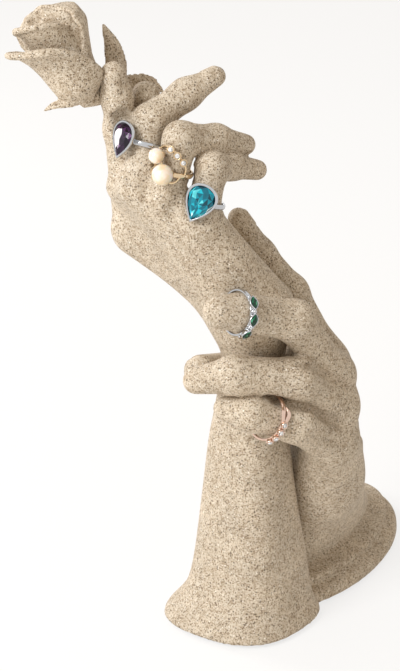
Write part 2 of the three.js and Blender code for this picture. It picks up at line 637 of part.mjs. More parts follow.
// The clay near the pinch, swollen by the fitting gap, as a cutter for the rose.
function pinchCutter(form) {
  const low = point(-62, -22, 228);
  const high = point(-8, 32, 278);
  const step = 2.6;
  const outside = (x, y, z) => Math.max(low.x - x, x - high.x, low.y - y, y - high.y, low.z - z, z - high.z);
  const swollen = (x, y, z) => Math.max(form(x, y, z) - PINCH_GAP, outside(x, y, z));
  const grid = ["x", "y", "z"].map((axis) => gridLines(low[axis] - step, high[axis] + step, step));
  return toSolid(skin(swollen, grid));
}

// Rings. In the frame of a ring x points out of its head, z along the finger and y across.

function ringFrame({ hand, finger, bone, share, tilt, slack, toward, head }) {
  const [[start, startRadius], [end, endRadius]] = hand.fingers[finger].slice(bone, bone + 2);
  const along = end.clone().sub(start).normalize();
  const aside = toward.clone().addScaledVector(along, -toward.dot(along)).normalize();
  const lean = THREE.MathUtils.degToRad(tilt);
  const axis = along.clone().multiplyScalar(Math.cos(lean)).addScaledVector(aside, Math.sin(lean));
  const out = head.clone().addScaledVector(axis, -head.dot(axis)).normalize();
  const across = new THREE.Vector3().crossVectors(axis, out);
  const centre = start.clone().lerp(end, share);
  const placed = new THREE.Matrix4().makeBasis(out, across, axis).setPosition(centre);
  const flesh = THREE.MathUtils.lerp(startRadius, endRadius, share) + slack;
  const bore = flesh / Math.cos(lean) + (RING_WIDTH / 2) * Math.tan(lean) + FIT_GAP;
  return { placed, along, axis, bore };
}

// A body of revolution round z from its section in radius and z.
function turned(section, sides) {
  const profile = [...section, section[0]].map(([radius, z]) => new THREE.Vector2(radius, z));
  return new THREE.LatheGeometry(profile, sides).rotateX(Math.PI / 2);
}

function shank(bore) {
  const half = RING_WIDTH / 2;
  const shoulder = bore + RING_WALL * 0.65;
  const crown = bore + RING_WALL;
  const lower = [[bore, -half], [shoulder, -half], [crown, -half * 0.4]];
  const upper = [[crown, half * 0.4], [shoulder, half], [bore, half]];
  return turned([...lower, ...upper], RING_SIDES);
}

// Outlines of stones in y and z, with a corner count, grown by a margin.
const outlines = {
  pear: (t) => [Math.cos(t), Math.sin(t) * Math.sin(t / 2) * 1.3],
  marquise: (t) => [Math.cos(t), Math.sign(Math.sin(t)) * Math.sin(t) ** 2],
  round: (t) => [Math.cos(t), Math.sin(t)],
};

// A loop of points at height x over a stone's outline. Stones carry their spot in y and z and a turn.
function stoneLoop(stone, x, scale, margin) {
  const { kind, length, width, y, z, turn, corners } = stone;
  const angle = THREE.MathUtils.degToRad(turn);
  return Array.from({ length: corners }, (_, n) => {
    const [a, b] = outlines[kind]((2 * Math.PI * n) / corners);
    const along = a * ((length / 2) * scale + margin);
    const aside = b * ((width / 2) * scale + margin);
    const right = along * Math.cos(angle) - aside * Math.sin(angle);
    const up = along * Math.sin(angle) + aside * Math.cos(angle);
    return point(x, y + right, z + up);
  });
}

// A cut stone: small culet, girdle and flat table.
function stoneGeometry(stone) {
  const { height, foot } = stone;
  const levels = [[0, 0.2], [0.52, 1], [0.6, 1], [1, 0.64]];
  return loft(levels.map(([share, scale]) => stoneLoop(stone, foot + height * share, scale, 0)));
}

// The collet that holds a stone, and the pocket that is cut into it.
function colletSolid(stone, bottom) {
  const rim = stone.foot + stone.height * 0.66;
  const floor = stone.foot - FIT_GAP;
  const girdle = stone.foot + stone.height * 0.5;
  const wall = FIT_GAP + COLLET_WALL;
  const wallRows = [[bottom, 0.6, COLLET_WALL], [girdle, 1, wall], [rim, 1, wall]];
  const pocketRows = [[floor, 0.4, FIT_GAP], [girdle, 1, FIT_GAP], [rim + 1, 1, FIT_GAP]];
  const [outer, pocket] = [wallRows, pocketRows].map((rows) => {
    return toSolid(loft(rows.map(([x, scale, margin]) => stoneLoop(stone, x, scale, margin))));
  });
  return { outer, pocket };
}

const turnedTo = (degrees) => new THREE.Matrix4().makeRotationZ(THREE.MathUtils.degToRad(degrees));

// A collet turned round the finger.
function turnedCollet(stone, bottom, turn) {
  const { outer, pocket } = colletSolid(stone, bottom);
  return { outer: outer.transform(turn.elements), pocket: pocket.transform(turn.elements) };
}

// A ring: its metal parts and its seats joined, then the pockets of the seats cut out.
function ringOf(parts, seats) {
  const pieces = [...parts.map(toSolid), ...seats.map(({ outer }) => outer)];
  const whole = pieces.reduce((sum, solid) => sum.add(solid));
  return seats.reduce((rest, { pocket }) => rest.subtract(pocket), whole);
}

// The space that a ring needs to slide: its band and the room of its head, swept along the finger.
function channelSolid(ring, frame) {
  const { bore, along, axis, placed } = frame;
  const reach = ring.travel * along.dot(axis);
  const half = RING_WIDTH / 2 + CHANNEL_GAP + ring.collar;
  const inner = bore - FIT_GAP * 0.7 - (RING_WIDTH / 2) * Math.tan(THREE.MathUtils.degToRad(ring.tilt));
  const outer = bore + RING_WALL + CHANNEL_GAP + (ring.collar > 0 ? CHANNEL_GAP : 0);
  const end = half + reach;
  const tube = turned([[inner, -half], [outer, -half], [outer, end], [inner, end]], RING_SIDES);
  const { height, halfWidth, from, to } = ring.room;
  const tall = height + CHANNEL_GAP;
  const box = new THREE.BoxGeometry(tall, 2 * (halfWidth + CHANNEL_GAP), to - from + reach + 2 * CHANNEL_GAP);
  box.translate(inner + tall / 2, 0, (from + to + reach) / 2);
  const [out, across] = [new THREE.Vector3(), new THREE.Vector3()];
  placed.extractBasis(out, across, new THREE.Vector3());
  const lean = along.clone().divideScalar(along.dot(axis));
  const shear = new THREE.Matrix4().makeShear(0, 0, 0, 0, lean.dot(out), lean.dot(across));
  return joined([tube, box].map((geometry) => geometry.applyMatrix4(shear).applyMatrix4(placed)));
}

// Where a spot of an ornament lies, for a band whose outside has the radius given.
function ornamentSpot([degrees, z, rise], radius) {
  const angle = THREE.MathUtils.degToRad(degrees);
  return point((radius + rise) * Math.cos(angle), (radius + rise) * Math.sin(angle), z);
}

// A round wire through spots.
function wireGeometry(spots, radius) {
  const curve = new THREE.CatmullRomCurve3(spots.map((spot) => ornamentSpot(spot, radius)));
  return rod(curve.getPoints(spots.length - 1).map((spot) => [spot, WIRE_RADIUS]), 5);
}

// A flat leaf of metal through spots, with its half width.
function metalLeaf({ spots, width }, radius) {
  const path = spots.map((spot) => ornamentSpot(spot, radius));
  return leafGeometry({ path, width, thickness: 1, face: path[1].clone().setZ(0) });
}

// A small dish for a pearl, with the pocket that is cut into it.
function pearlDish(pearl, bottom) {
  const rim = pearl.x - pearl.radius * 0.72;
  const wide = pearl.radius * 0.72;
  const dish = turned([[0, bottom], [wide * 0.7, bottom], [wide, rim], [0, rim]], 14);
  const place = new THREE.Matrix4().makeRotationY(Math.PI / 2).setPosition(0, pearl.y, pearl.z);
  const hollow = new THREE.SphereGeometry(pearl.radius + FIT_GAP, 14, 9).translate(pearl.x, pearl.y, pearl.z);
  return { outer: toSolid(dish.applyMatrix4(place)), pocket: toSolid(hollow) };
}

// Materials

const resin = new THREE.MeshStandardMaterial({ color: 0xcdb893, roughness: 0.85, metalness: 0 });
const foam = new THREE.MeshStandardMaterial({ color: 0x3a3835, roughness: 0.95, metalness: 0 });
const silver = new THREE.MeshStandardMaterial({ color: 0xc9cbd0, roughness: 0.25, metalness: 1 });
const gold = new THREE.MeshStandardMaterial({ color: 0xd9b061, roughness: 0.25, metalness: 1 });
const roseGold = new THREE.MeshStandardMaterial({ color: 0xc98f70, roughness: 0.28, metalness: 1 });
const amethyst = new THREE.MeshStandardMaterial({ color: 0x4a2f55, roughness: 0.08, metalness: 0 });
const topaz = new THREE.MeshStandardMaterial({ color: 0x1593b4, roughness: 0.08, metalness: 0 });
const emerald = new THREE.MeshStandardMaterial({ color: 0x1d6b4c, roughness: 0.08, metalness: 0 });
const crystal = new THREE.MeshStandardMaterial({ color: 0xe4e8ec, roughness: 0.08, metalness: 0 });
const nacre = new THREE.MeshStandardMaterial({ color: 0xf1e6d6, roughness: 0.3, metalness: 0 });

// Assembly

const display = new THREE.Group();

function add(name, geometry, material, group = display) {
  const mesh = new THREE.Mesh(geometry, material);
  mesh.name = name;
  group.add(mesh);
  return mesh;
}

const frames = Object.fromEntries(Object.entries(rings).map(([name, ring]) => [name, ringFrame(ring)]));
const channels = [];

// Adds the band and the stones of a ring, placed on its finger.
function addRing(key, name, band, material, loose) {
  const frame = frames[key];
  channels.push(channelSolid(rings[key], frame));
  add(`${name}_band`, toGeometry(band).applyMatrix4(frame.placed), material);
  loose.forEach(([suffix, geometry, look]) => {
    add(`${name}_${suffix}`, geometry.applyMatrix4(frame.placed), look);
  });
}

// Amethyst ring: one pear-cut stone in a smooth collet
{
  const { bore } = frames.amethyst;
  const gem = { ...cuts.amethyst, foot: bore + PEAR_LIFT };
  const band = ringOf([shank(bore)], [colletSolid(gem, bore + FIT_GAP)]);
  addRing("amethyst", "amethyst_ring", band, silver, [["stone", stoneGeometry(gem), amethyst]]);
}

// Pearl ring: two pearls in dishes, a wire with three crystals, and two small leaves
{
  const { bore } = frames.pearl;
  const high = bore + RING_WALL;
  const pearls = [smallPearl, largePearl].map((pearl) => ({ ...pearl, x: high + pearl.rise }));
  const crystals = crystalSpots.map(([degrees, z]) => ({
    turn: turnedTo(degrees),
    gem: { ...cuts.crystal, z, foot: high + 1 },
  }));
  const metal = [
    shank(bore),
    ...Object.values(wires).map((spots) => wireGeometry(spots, high)),
    ...metalLeaves.pearl.map((leaf) => metalLeaf(leaf, high)),
  ];
  const seats = [
    ...pearls.map((pearl) => pearlDish(pearl, bore + SEAT_LIFT)),
    ...crystals.map(({ gem, turn }) => turnedCollet(gem, high - WIRE_RADIUS / 2, turn)),
  ];
  const balls = pearls.map(({ radius, x, y, z }) => {
    return new THREE.SphereGeometry(radius, 16, 10).translate(x, y, z);
  });
  const loose = [
    ["small_pearl", balls[0], nacre],
    ["large_pearl", balls[1], nacre],
    ...crystals.map(({ gem, turn }, n) => {
      return [`crystal_${n + 1}`, stoneGeometry(gem).applyMatrix4(turn), crystal];
    }),
  ];
  addRing("pearl", "pearl_ring", ringOf(metal, seats), gold, loose);
}

// Topaz ring: one broad pear-cut stone
{
  const { bore } = frames.topaz;
  const gem = { ...cuts.topaz, foot: bore + PEAR_LIFT };
  const band = ringOf([shank(bore)], [colletSolid(gem, bore + FIT_GAP)]);
  addRing("topaz", "topaz_ring", band, silver, [["stone", stoneGeometry(gem), topaz]]);
}

// Emerald ring: three marquise stones round the head with two clear stones between them
{
  const { bore } = frames.emerald;
  const foot = bore + RING_WALL;
  const green = { ...cuts.emerald, foot };
  const clear = { ...cuts.accent, foot };
  const spots = [
    ...EMERALD_TURNS.map((degrees, n) => ({ suffix: `stone_${n + 1}`, degrees, gem: green, look: emerald })),
    ...ACCENT_TURNS.map((degrees, n) => {
      return { suffix: `clear_stone_${n + 1}`, degrees, gem: clear, look: crystal };
    }),
  ].map((spot) => ({ ...spot, turn: turnedTo(spot.degrees) }));
  const band = ringOf([shank(bore)], spots.map(({ gem, turn }) => turnedCollet(gem, bore + SEAT_LIFT, turn)));
  const loose = spots.map(({ suffix, gem, turn, look }) => {
    return [suffix, stoneGeometry(gem).applyMatrix4(turn), look];
  });
  addRing("emerald", "emerald_ring", band, silver, loose);
}

// Rose gold ring: an open band whose ends carry a leaf spray and four small stones
{
  const { bore } = frames.roseGold;
  const high = bore + RING_WALL;
  const mouth = new THREE.BoxGeometry(4 * RING_WALL, MOUTH.width, 2 * RING_WIDTH).translate(high, 0, 0);
  const open = toSolid(shank(bore)).subtract(toSolid(mouth.applyMatrix4(turnedTo(MOUTH.turn))));
  const gem = { ...cuts.spray, foot: high };
  const turns = SPRAY_TURNS.map(turnedTo);
  const metal = [toGeometry(open), ...metalLeaves.roseGold.map((leaf) => metalLeaf(leaf, high))];
  const band = ringOf(metal, turns.map((turn) => turnedCollet(gem, bore + SEAT_LIFT, turn)));
  const loose = turns.map((turn, n) => [`stone_${n + 1}`, stoneGeometry(gem).applyMatrix4(turn), crystal]);
  addRing("roseGold", "rose_gold_ring", band, roseGold, loose);
}

// Castings

const raisedForm = handForm(raised);
const claspingForm = clearOf(handForm(clasping), raisedForm, SEAT_GAP);
const raisedGrid = [
  gridLines(-52, 62, HAND_FACET),
  gridLines(-30, 60, HAND_FACET),
  [-8, -4, ...gridLines(0, 20, 4), ...gridLines(20, 116, FOREARM_FACET).slice(1),
    ...gridLines(116, 275, HAND_FACET).slice(1)],
];
const claspingGrid = [
  gridLines(-20, 108, HAND_FACET),
  gridLines(-48, 156, HAND_FACET),
  [-8, -4, ...gridLines(0, 18, 3), ...gridLines(18, 48, 6).slice(1),
    ...gridLines(48, 204, HAND_FACET).slice(1)],
];
const ringRoom = channels.reduce((whole, solid) => whole.add(solid));
const raisedSolid = standOnPads(skin(raisedForm, raisedGrid)).subtract(ringRoom);
const claspingSolid = standOnPads(skin(claspingForm, claspingGrid)).subtract(ringRoom);
add("raised_hand_casting", toGeometry(raisedSolid), resin);
add("clasping_hand_casting", toGeometry(claspingSolid), resin);
const rose = outerBody(roseSolid().subtract(pinchCutter(raisedForm)));
add("rose_casting", toGeometry(rose), resin);

// Foot pads follow the two feet, set in from their rims.

const frontFoot = raised.forearm[0];
const rearFoot = clasping.forearm[0];
const padGeometry = (foot, grow, height) => {
  const disc = new THREE.CylinderGeometry(1, 1, height, 40).rotateX(Math.PI / 2);
  disc.scale(foot.rx + grow, foot.ry + grow, 1).rotateZ(THREE.MathUtils.degToRad(-foot.turn));
  return disc.translate(foot.x, foot.y, height / 2);
};
const frontPad = padGeometry(frontFoot, -PAD_INSET, PAD_THICKNESS);
const frontRoom = padGeometry(frontFoot, SEAT_GAP + PAD_INSET, 2 * PAD_THICKNESS);
frontRoom.translate(0, 0, -PAD_THICKNESS / 2);
const rearPad = toSolid(padGeometry(rearFoot, -PAD_INSET, PAD_THICKNESS)).subtract(toSolid(frontRoom));
add("front_foot_pad", frontPad, foam);
add("rear_foot_pad", toGeometry(rearPad), foam);

// The display gets its height, and stands with the middle of its footprint at the origin.
const size = DISPLAY_HEIGHT / DRAWN_HEIGHT;
const footprint = new THREE.Box3().setFromObject(display);
const middle = footprint.getCenter(new THREE.Vector3());
display.children.forEach((mesh) => {
  mesh.geometry.translate(-middle.x, -middle.y, -footprint.min.z).scale(size, size, size);
});

export default display;
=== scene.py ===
"""Hand jewelry display: two life-size hands cast in sand-textured resin, a rose and five rings."""

import math
import random
from functools import partial, reduce
from itertools import product

import bpy
import numpy as np
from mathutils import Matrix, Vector


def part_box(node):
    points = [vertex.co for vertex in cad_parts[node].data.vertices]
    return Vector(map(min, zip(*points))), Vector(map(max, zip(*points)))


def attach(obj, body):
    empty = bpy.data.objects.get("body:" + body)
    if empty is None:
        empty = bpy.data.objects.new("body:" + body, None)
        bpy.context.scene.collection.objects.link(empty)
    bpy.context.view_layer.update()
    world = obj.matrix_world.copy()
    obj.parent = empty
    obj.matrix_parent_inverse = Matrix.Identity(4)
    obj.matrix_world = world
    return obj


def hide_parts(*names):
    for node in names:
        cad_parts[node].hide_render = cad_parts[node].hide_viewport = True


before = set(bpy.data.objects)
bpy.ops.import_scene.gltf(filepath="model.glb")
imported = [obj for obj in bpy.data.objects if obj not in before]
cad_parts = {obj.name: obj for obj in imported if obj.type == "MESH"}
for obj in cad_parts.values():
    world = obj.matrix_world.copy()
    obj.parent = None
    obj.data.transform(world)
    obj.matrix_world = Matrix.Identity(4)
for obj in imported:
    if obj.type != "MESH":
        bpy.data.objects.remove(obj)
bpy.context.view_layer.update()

bl_info = {
    "name": "Hand Jewelry Display",
    "version": (1, 0, 0),
    "blender": (4, 5, 0),
    "location": "View3D > Sidebar > Display",
    "description": "Dresses the hand jewelry display: castings, rose, rings, foot pads and studio",
    "category": "Object",
}

MM = 0.001

# The hands are drawn in millimetres round a point beside the front foot. This is how far the
# drawing has to move to stand where the front foot pad stands.
DRAWN_FOOT = (19.5, 10.0)
pad_low, pad_high = (np.array(corner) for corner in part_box("front_foot_pad"))
DRAWING_SHIFT = np.array([*((pad_low + pad_high)[:2] / 2 / MM - DRAWN_FOOT), 0.0])
PAD_TOP = pad_high[2] / MM


def colour(code):
    """An sRGB hex colour as a linear one for a shader socket."""
    parts = [int(code[i : i + 2], 16) / 255 for i in (1, 3, 5)]
    return (*[v / 12.92 if v <= 0.04045 else ((v + 0.055) / 1.055) ** 2.4 for v in parts], 1.0)


# Materials


def add(tree, kind, stops=(), **values):
    """Adds a node. A name in lower case is one of its settings. Any other is one of its sockets, by
    name or number, and takes a value, a node for its first output, or (node, output). The stops
    are those of a colour ramp: (place, hex or linear colour)."""
    node = tree.nodes.new("ShaderNode" + kind)
    for name, value in values.items():
        if name.islower():
            setattr(node, name, value)
            continue
        socket = node.inputs[int(name[1:]) if name[1:].isdigit() else name.replace("_", " ")]
        if isinstance(value, bpy.types.Node):
            value = (value, 0)
        if isinstance(value, tuple) and isinstance(value[0], bpy.types.Node):
            tree.links.new(value[0].outputs[value[1]], socket)
        else:
            socket.default_value = value
    if stops:
        elements = node.color_ramp.elements
        while len(elements) < len(stops):
            elements.new(0.5)
        for element, (place, tint) in zip(elements, stops):
            element.position = place
            element.color = colour(tint) if isinstance(tint, str) else (*tint, 1)
    return node


def blank(data, name):
    """A new material or world without nodes, and the call that adds nodes to it."""
    holder = data.new(name)
    holder.use_nodes = True
    holder.node_tree.nodes.clear()
    return holder, partial(add, holder.node_tree)


MIX = {"data_type": "RGBA"}
MULTIPLY = {"data_type": "RGBA", "blend_type": "MULTIPLY"}
# The resin's mottling: spots a metre (330 is a stain of 3 mm, 1350 a grit of 0.7 mm), detail,
# roughness, strength and colours
MOTTLING = [
    (330, 5, 0.75, 0.5, [(0.36, "#b9a386"), (0.5, "#f6f1ea"), (0.62, "#ffffff")]),
    (1350, 3, 0.8, 0.9, [(0.36, "#735c3e"), (0.47, "#ede4d6"), (0.6, "#ffffff")]),
]
# Grains in three sizes: their spacing in mm, the share of cells that hold one, how much of its cell
# a grain fills, and its colours. The real grains are 0.2 to 0.6 mm.
GRAINS = [
    (1.15, 0.6, 0.34, "#35291d", "#6e573c"),
    (0.8, 0.55, 0.34, "#57432a", "#8a704b"),
    (1.0, 0.16, 0.28, "#f3ede4", "#fdfaf5"),
]
GRAIN_STRENGTH = 0.8
POLISH = 0.16


def sandstone_resin():
    """Polyester resin cast with stone powder and coarse sand. The eye sees a matte cream body with
    powder clouds of 14 mm, and dark, brown and pale grains in it that stand just proud."""
    material, node = blank(bpy.data.materials, "sandstone_resin")
    spot = (node("TexCoord"), "Object")
    tint = np.array(bpy.context.scene.display_finish.resin)
    clouds = node("TexNoise", Vector=spot, Scale=70, Detail=4, Roughness=0.6)
    ground = node("ValToRGB", [(0.3, tint * 0.89), (0.5, tint), (0.7, tint * 1.1)], Fac=clouds)
    for scale, detail, rough, strength, shades in MOTTLING:
        grit = node("TexNoise", Vector=spot, Scale=scale, Detail=detail, Roughness=rough)
        shade = node("ValToRGB", shades, Fac=grit)
        ground = (node("Mix", **MULTIPLY, _0=strength, _6=ground, _7=shade), 2)
    grains = []
    for spacing, share, reach, dark, pale in GRAINS:
        cells = node("TexVoronoi", feature="F1", Vector=spot, Scale=1 / (spacing * MM), Randomness=1)
        luck = node("SeparateColor", Color=(cells, "Color"))
        chosen = node("Math", operation="LESS_THAN", _0=(luck, "Red"), _1=share)
        size = node("Math", operation="MULTIPLY_ADD", _0=(luck, "Green"), _1=reach * 0.6, _2=reach * 0.5)
        inside = node("Math", operation="LESS_THAN", _0=(cells, "Distance"), _1=size)
        grain = node("Math", operation="MULTIPLY", _0=chosen, _1=inside)
        shade = node("ValToRGB", [(0, dark), (1, pale)], Fac=(luck, "Blue"))
        strength = node("Math", operation="MULTIPLY", _0=grain, _1=GRAIN_STRENGTH)
        ground = (node("Mix", **MIX, _0=strength, _6=ground, _7=shade), 2)
        grains.append(grain)
    relief = node("Math", operation="MULTIPLY_ADD", _0=grains[0], _1=0.5, _2=grit)
    bump = node("Bump", Strength=0.3, Distance=0.00025, Height=relief)
    resin = node("BsdfPrincipled", Base_Color=ground, Roughness=0.72, IOR=1.5, Normal=bump)
    node("OutputMaterial", Surface=resin)
    return material


def polished_metal(name, tint):
    """Plated and polished jewellery metal. The eye sees sharp reflections, softened a little by wear
    from wiping. Its hairlines are too fine to show, so they are drawn as spots of 1.1 mm."""
    material, node = blank(bpy.data.materials, name)
    wear = node("TexNoise", Vector=(node("TexCoord"), "Object"), Scale=900, Detail=3)
    gloss = node("MapRange", Value=wear, From_Min=0.3, From_Max=0.7, To_Min=POLISH * 0.7, To_Max=POLISH * 1.5)
    bump = node("Bump", Strength=0.08, Distance=0.0001, Height=wear)
    metal = node("BsdfPrincipled", Base_Color=(*tint, 1), Metallic=1, Roughness=gloss, Normal=bump)
    node("OutputMaterial", Surface=metal)
    return material


def cut_glass(name, ior):
    """Foil-backed cut glass. Each facet carries a painted reflection, a tint from nearly black to pale that stands in
    for the light it catches, under a hard clear gloss, with a haze of 2.4 mm in the foil."""
    material, node = blank(bpy.data.materials, name)
    # The facet colours are painted reflections and shade, not the glass's own colour.
    facet = node("VertexColor", layer_name="facet")
    haze = node("TexNoise", Vector=(node("TexCoord"), "Object"), Scale=420, Detail=2)
    depth = node("ValToRGB", [(0.35, "#d2d2d2"), (0.6, "#ffffff")], Fac=haze)
    tint = (node("Mix", **MULTIPLY, _0=0.8, _6=facet, _7=depth), 2)
    glass = node("BsdfPrincipled", Base_Color=tint, Roughness=0.06, IOR=ior, Specular_IOR_Level=0.3)
    node("OutputMaterial", Surface=glass)
    return material


def nacre():
    """Cream imitation pearl. The eye sees a soft deep gloss with warm and pinkish zones of 5 mm."""
    material, node = blank(bpy.data.materials, "pearl_nacre")
    zones = node("TexNoise", Vector=(node("TexCoord"), "Object"), Scale=180, Detail=2)
    tint = node("ValToRGB", [(0.38, "#ead4ae"), (0.5, "#f0e5d6"), (0.62, "#f1e4e0")], Fac=zones)
    body = {"Base_Color": tint, "Roughness": 0.2, "IOR": 1.53, "Subsurface_Weight": 0.15, "Subsurface_Scale": 0.002}
    pearl = node("BsdfPrincipled", **body, Coat_Weight=0.8, Coat_Roughness=0.06)
    node("OutputMaterial", Surface=pearl)
    return material


def dark_foam():
    """Closed-cell foam sheet, die-cut. The eye sees a dull dark face with pores of 0.6 mm."""
    material, node = blank(bpy.data.materials, "closed_cell_foam")
    pores = node("TexVoronoi", feature="F1", Vector=(node("TexCoord"), "Object"), Scale=1600)
    tint = node("ValToRGB", [(0, "#1d1b19"), (0.5, "#3d3a37")], Fac=pores)
    bump = node("Bump", Strength=0.4, Distance=0.0002, Height=pores)
    foam = node("BsdfPrincipled", Base_Color=tint, Roughness=0.9, Normal=bump)
    node("OutputMaterial", Surface=foam)
    return material


SHADE = {"subtype": "COLOR", "min": 0, "max": 1}


class DisplayFinishProperties(bpy.types.PropertyGroup):
    resin: bpy.props.FloatVectorProperty(
        name="Resin", description="Colour of the cast body between its grains", default=colour("#d8d0c3")[:3], **SHADE
    )
    silver: bpy.props.FloatVectorProperty(
        name="Silver", description="Colour of the silver rings", default=colour("#c2c3c5")[:3], **SHADE
    )
    gold: bpy.props.FloatVectorProperty(
        name="Gold", description="Colour of the pearl ring's metal", default=colour("#dfc6a2")[:3], **SHADE
    )
    rose_gold: bpy.props.FloatVectorProperty(
        name="Rose gold", description="Colour of the leaf ring's metal", default=colour("#e0c2b0")[:3], **SHADE
    )


# Metals: material and record slot. Cut glass: material, IOR, record slot, and the tints of its facets, each with how
# often it comes. These tints are painted reflections and shade: from nearly black to pale, each stands in for the
# light that a facet catches.
METALS = {
    "silver": ("rhodium_plated_silver", "silver"),
    "gold": ("pale_gold_plate", "yellow_gold"),
    "rose_gold": ("rose_gold_plate", "rose_gold"),
}
GLASSES = {
    "amethyst": (
        "amethyst_glass", 1.58, "amethyst",
        [("#150a1a", 4), ("#231229", 4), ("#321b39", 4), ("#482a4e", 1.5), ("#6e4c75", 0.5)],
    ),
    "topaz": (
        "topaz_glass", 1.62, "blue_topaz",
        [("#02404f", 2), ("#036a7f", 4), ("#0590a8", 4), ("#10b4cb", 3), ("#5fdbe6", 1.4), ("#e4fbfc", 0.4)],
    ),
    "emerald": (
        "emerald_glass", 1.6, "emerald",
        [("#021a10", 3), ("#043020", 4), ("#084a30", 3), ("#167a50", 1.4), ("#6fcaa2", 0.4)],
    ),
    "crystal": ("clear_crystal", 1.7, "crystal", [("#8d9299", 1), ("#c3c8ce", 2), ("#e6e9ed", 3), ("#ffffff", 3)]),
}
OTHERS = {"resin": sandstone_resin, "foam": dark_foam, "pearl": nacre}
LOOKS = {}


def look(name):
    """A finish by name, made once."""
    if name not in LOOKS:
        if name in METALS:
            LOOKS[name] = polished_metal(METALS[name][0], getattr(bpy.context.scene.display_finish, name))
        elif name in GLASSES:
            LOOKS[name] = cut_glass(*GLASSES[name][:2])
        else:
            LOOKS[name] = OTHERS[name]()
    return LOOKS[name]


# Clay forms: functions of an array of points in mm, below zero inside and above zero outside


def round_cone(points, start, end, start_radius, end_radius):
    """A rod with ball ends."""
    start, end = np.array(start, float), np.array(end, float)
    axis = end - start
    length2 = axis @ axis
    taper = start_radius - end_radius
    slant2 = length2 - taper * taper
    away = points - start
    along = away @ axis
    beyond = along - length2
    across = np.maximum(length2 * np.einsum("ij,ij->i", away, away) - along * along, 0)
    bend = np.sign(taper) * taper * taper * across
    side = (np.sqrt(across * slant2) + along * taper) / length2 - start_radius
    past = np.sqrt((across + beyond * beyond) / length2) - end_radius
    before = np.sqrt((across + along * along) / length2) - start_radius
    value = np.where(np.sign(along) * slant2 * along * along < bend, before, side)
    return np.where(np.sign(beyond) * slant2 * beyond * beyond > bend, past, value)


def limb(points, sections):
    """A stack of sections (z, x, y, half width, half depth, turn, corners) on a smooth curve."""
    rows = np.array(sections, float)
    z = points[:, 2]
    i = np.clip(np.searchsorted(rows[:, 0], z, side="left") - 1, 0, len(rows) - 2)
    before, lower, upper, after = (rows[np.clip(i + n, 0, len(rows) - 1)] for n in (-1, 0, 1, 2))
    span = upper[:, :1] - lower[:, :1]
    t = np.clip((z[:, None] - lower[:, :1]) / span, 0, 1)
    start = (upper - before) / (upper[:, :1] - before[:, :1]) * span
    end = (after - lower) / (after[:, :1] - lower[:, :1]) * span
    rise = upper - lower
    mixed = lower + t * (start + t * ((3 * rise - 2 * start - end) + t * (start + end - 2 * rise)))
    turn = np.radians(mixed[:, 5])
    dx, dy = points[:, 0] - mixed[:, 1], points[:, 1] - mixed[:, 2]
    across = dx * np.cos(turn) - dy * np.sin(turn)
    deep = dx * np.sin(turn) + dy * np.cos(turn)
    across, deep = across / mixed[:, 3], deep / mixed[:, 4]
    ratio = np.hypot(across, deep)
    around = np.arctan2(deep, across) - CORNER_TURN
    ratio = ratio / (1 + mixed[:, 6] * np.cos(4 * around))
    body = (ratio - 1) * np.minimum(mixed[:, 3], mixed[:, 4])
    return np.maximum(body, np.maximum(z - rows[-1, 0], rows[0, 0] - z))


def melted(width, near, other):
    """Two forms that melt into each other over a width."""
    overlap = np.maximum(width - np.abs(near - other), 0) / width
    return np.minimum(near, other) - overlap * overlap * width / 4


PALM_MELT, KNUCKLE_MELT, WRIST_MELT = 9, 4, 14
CORNER_TURN = math.radians(8)

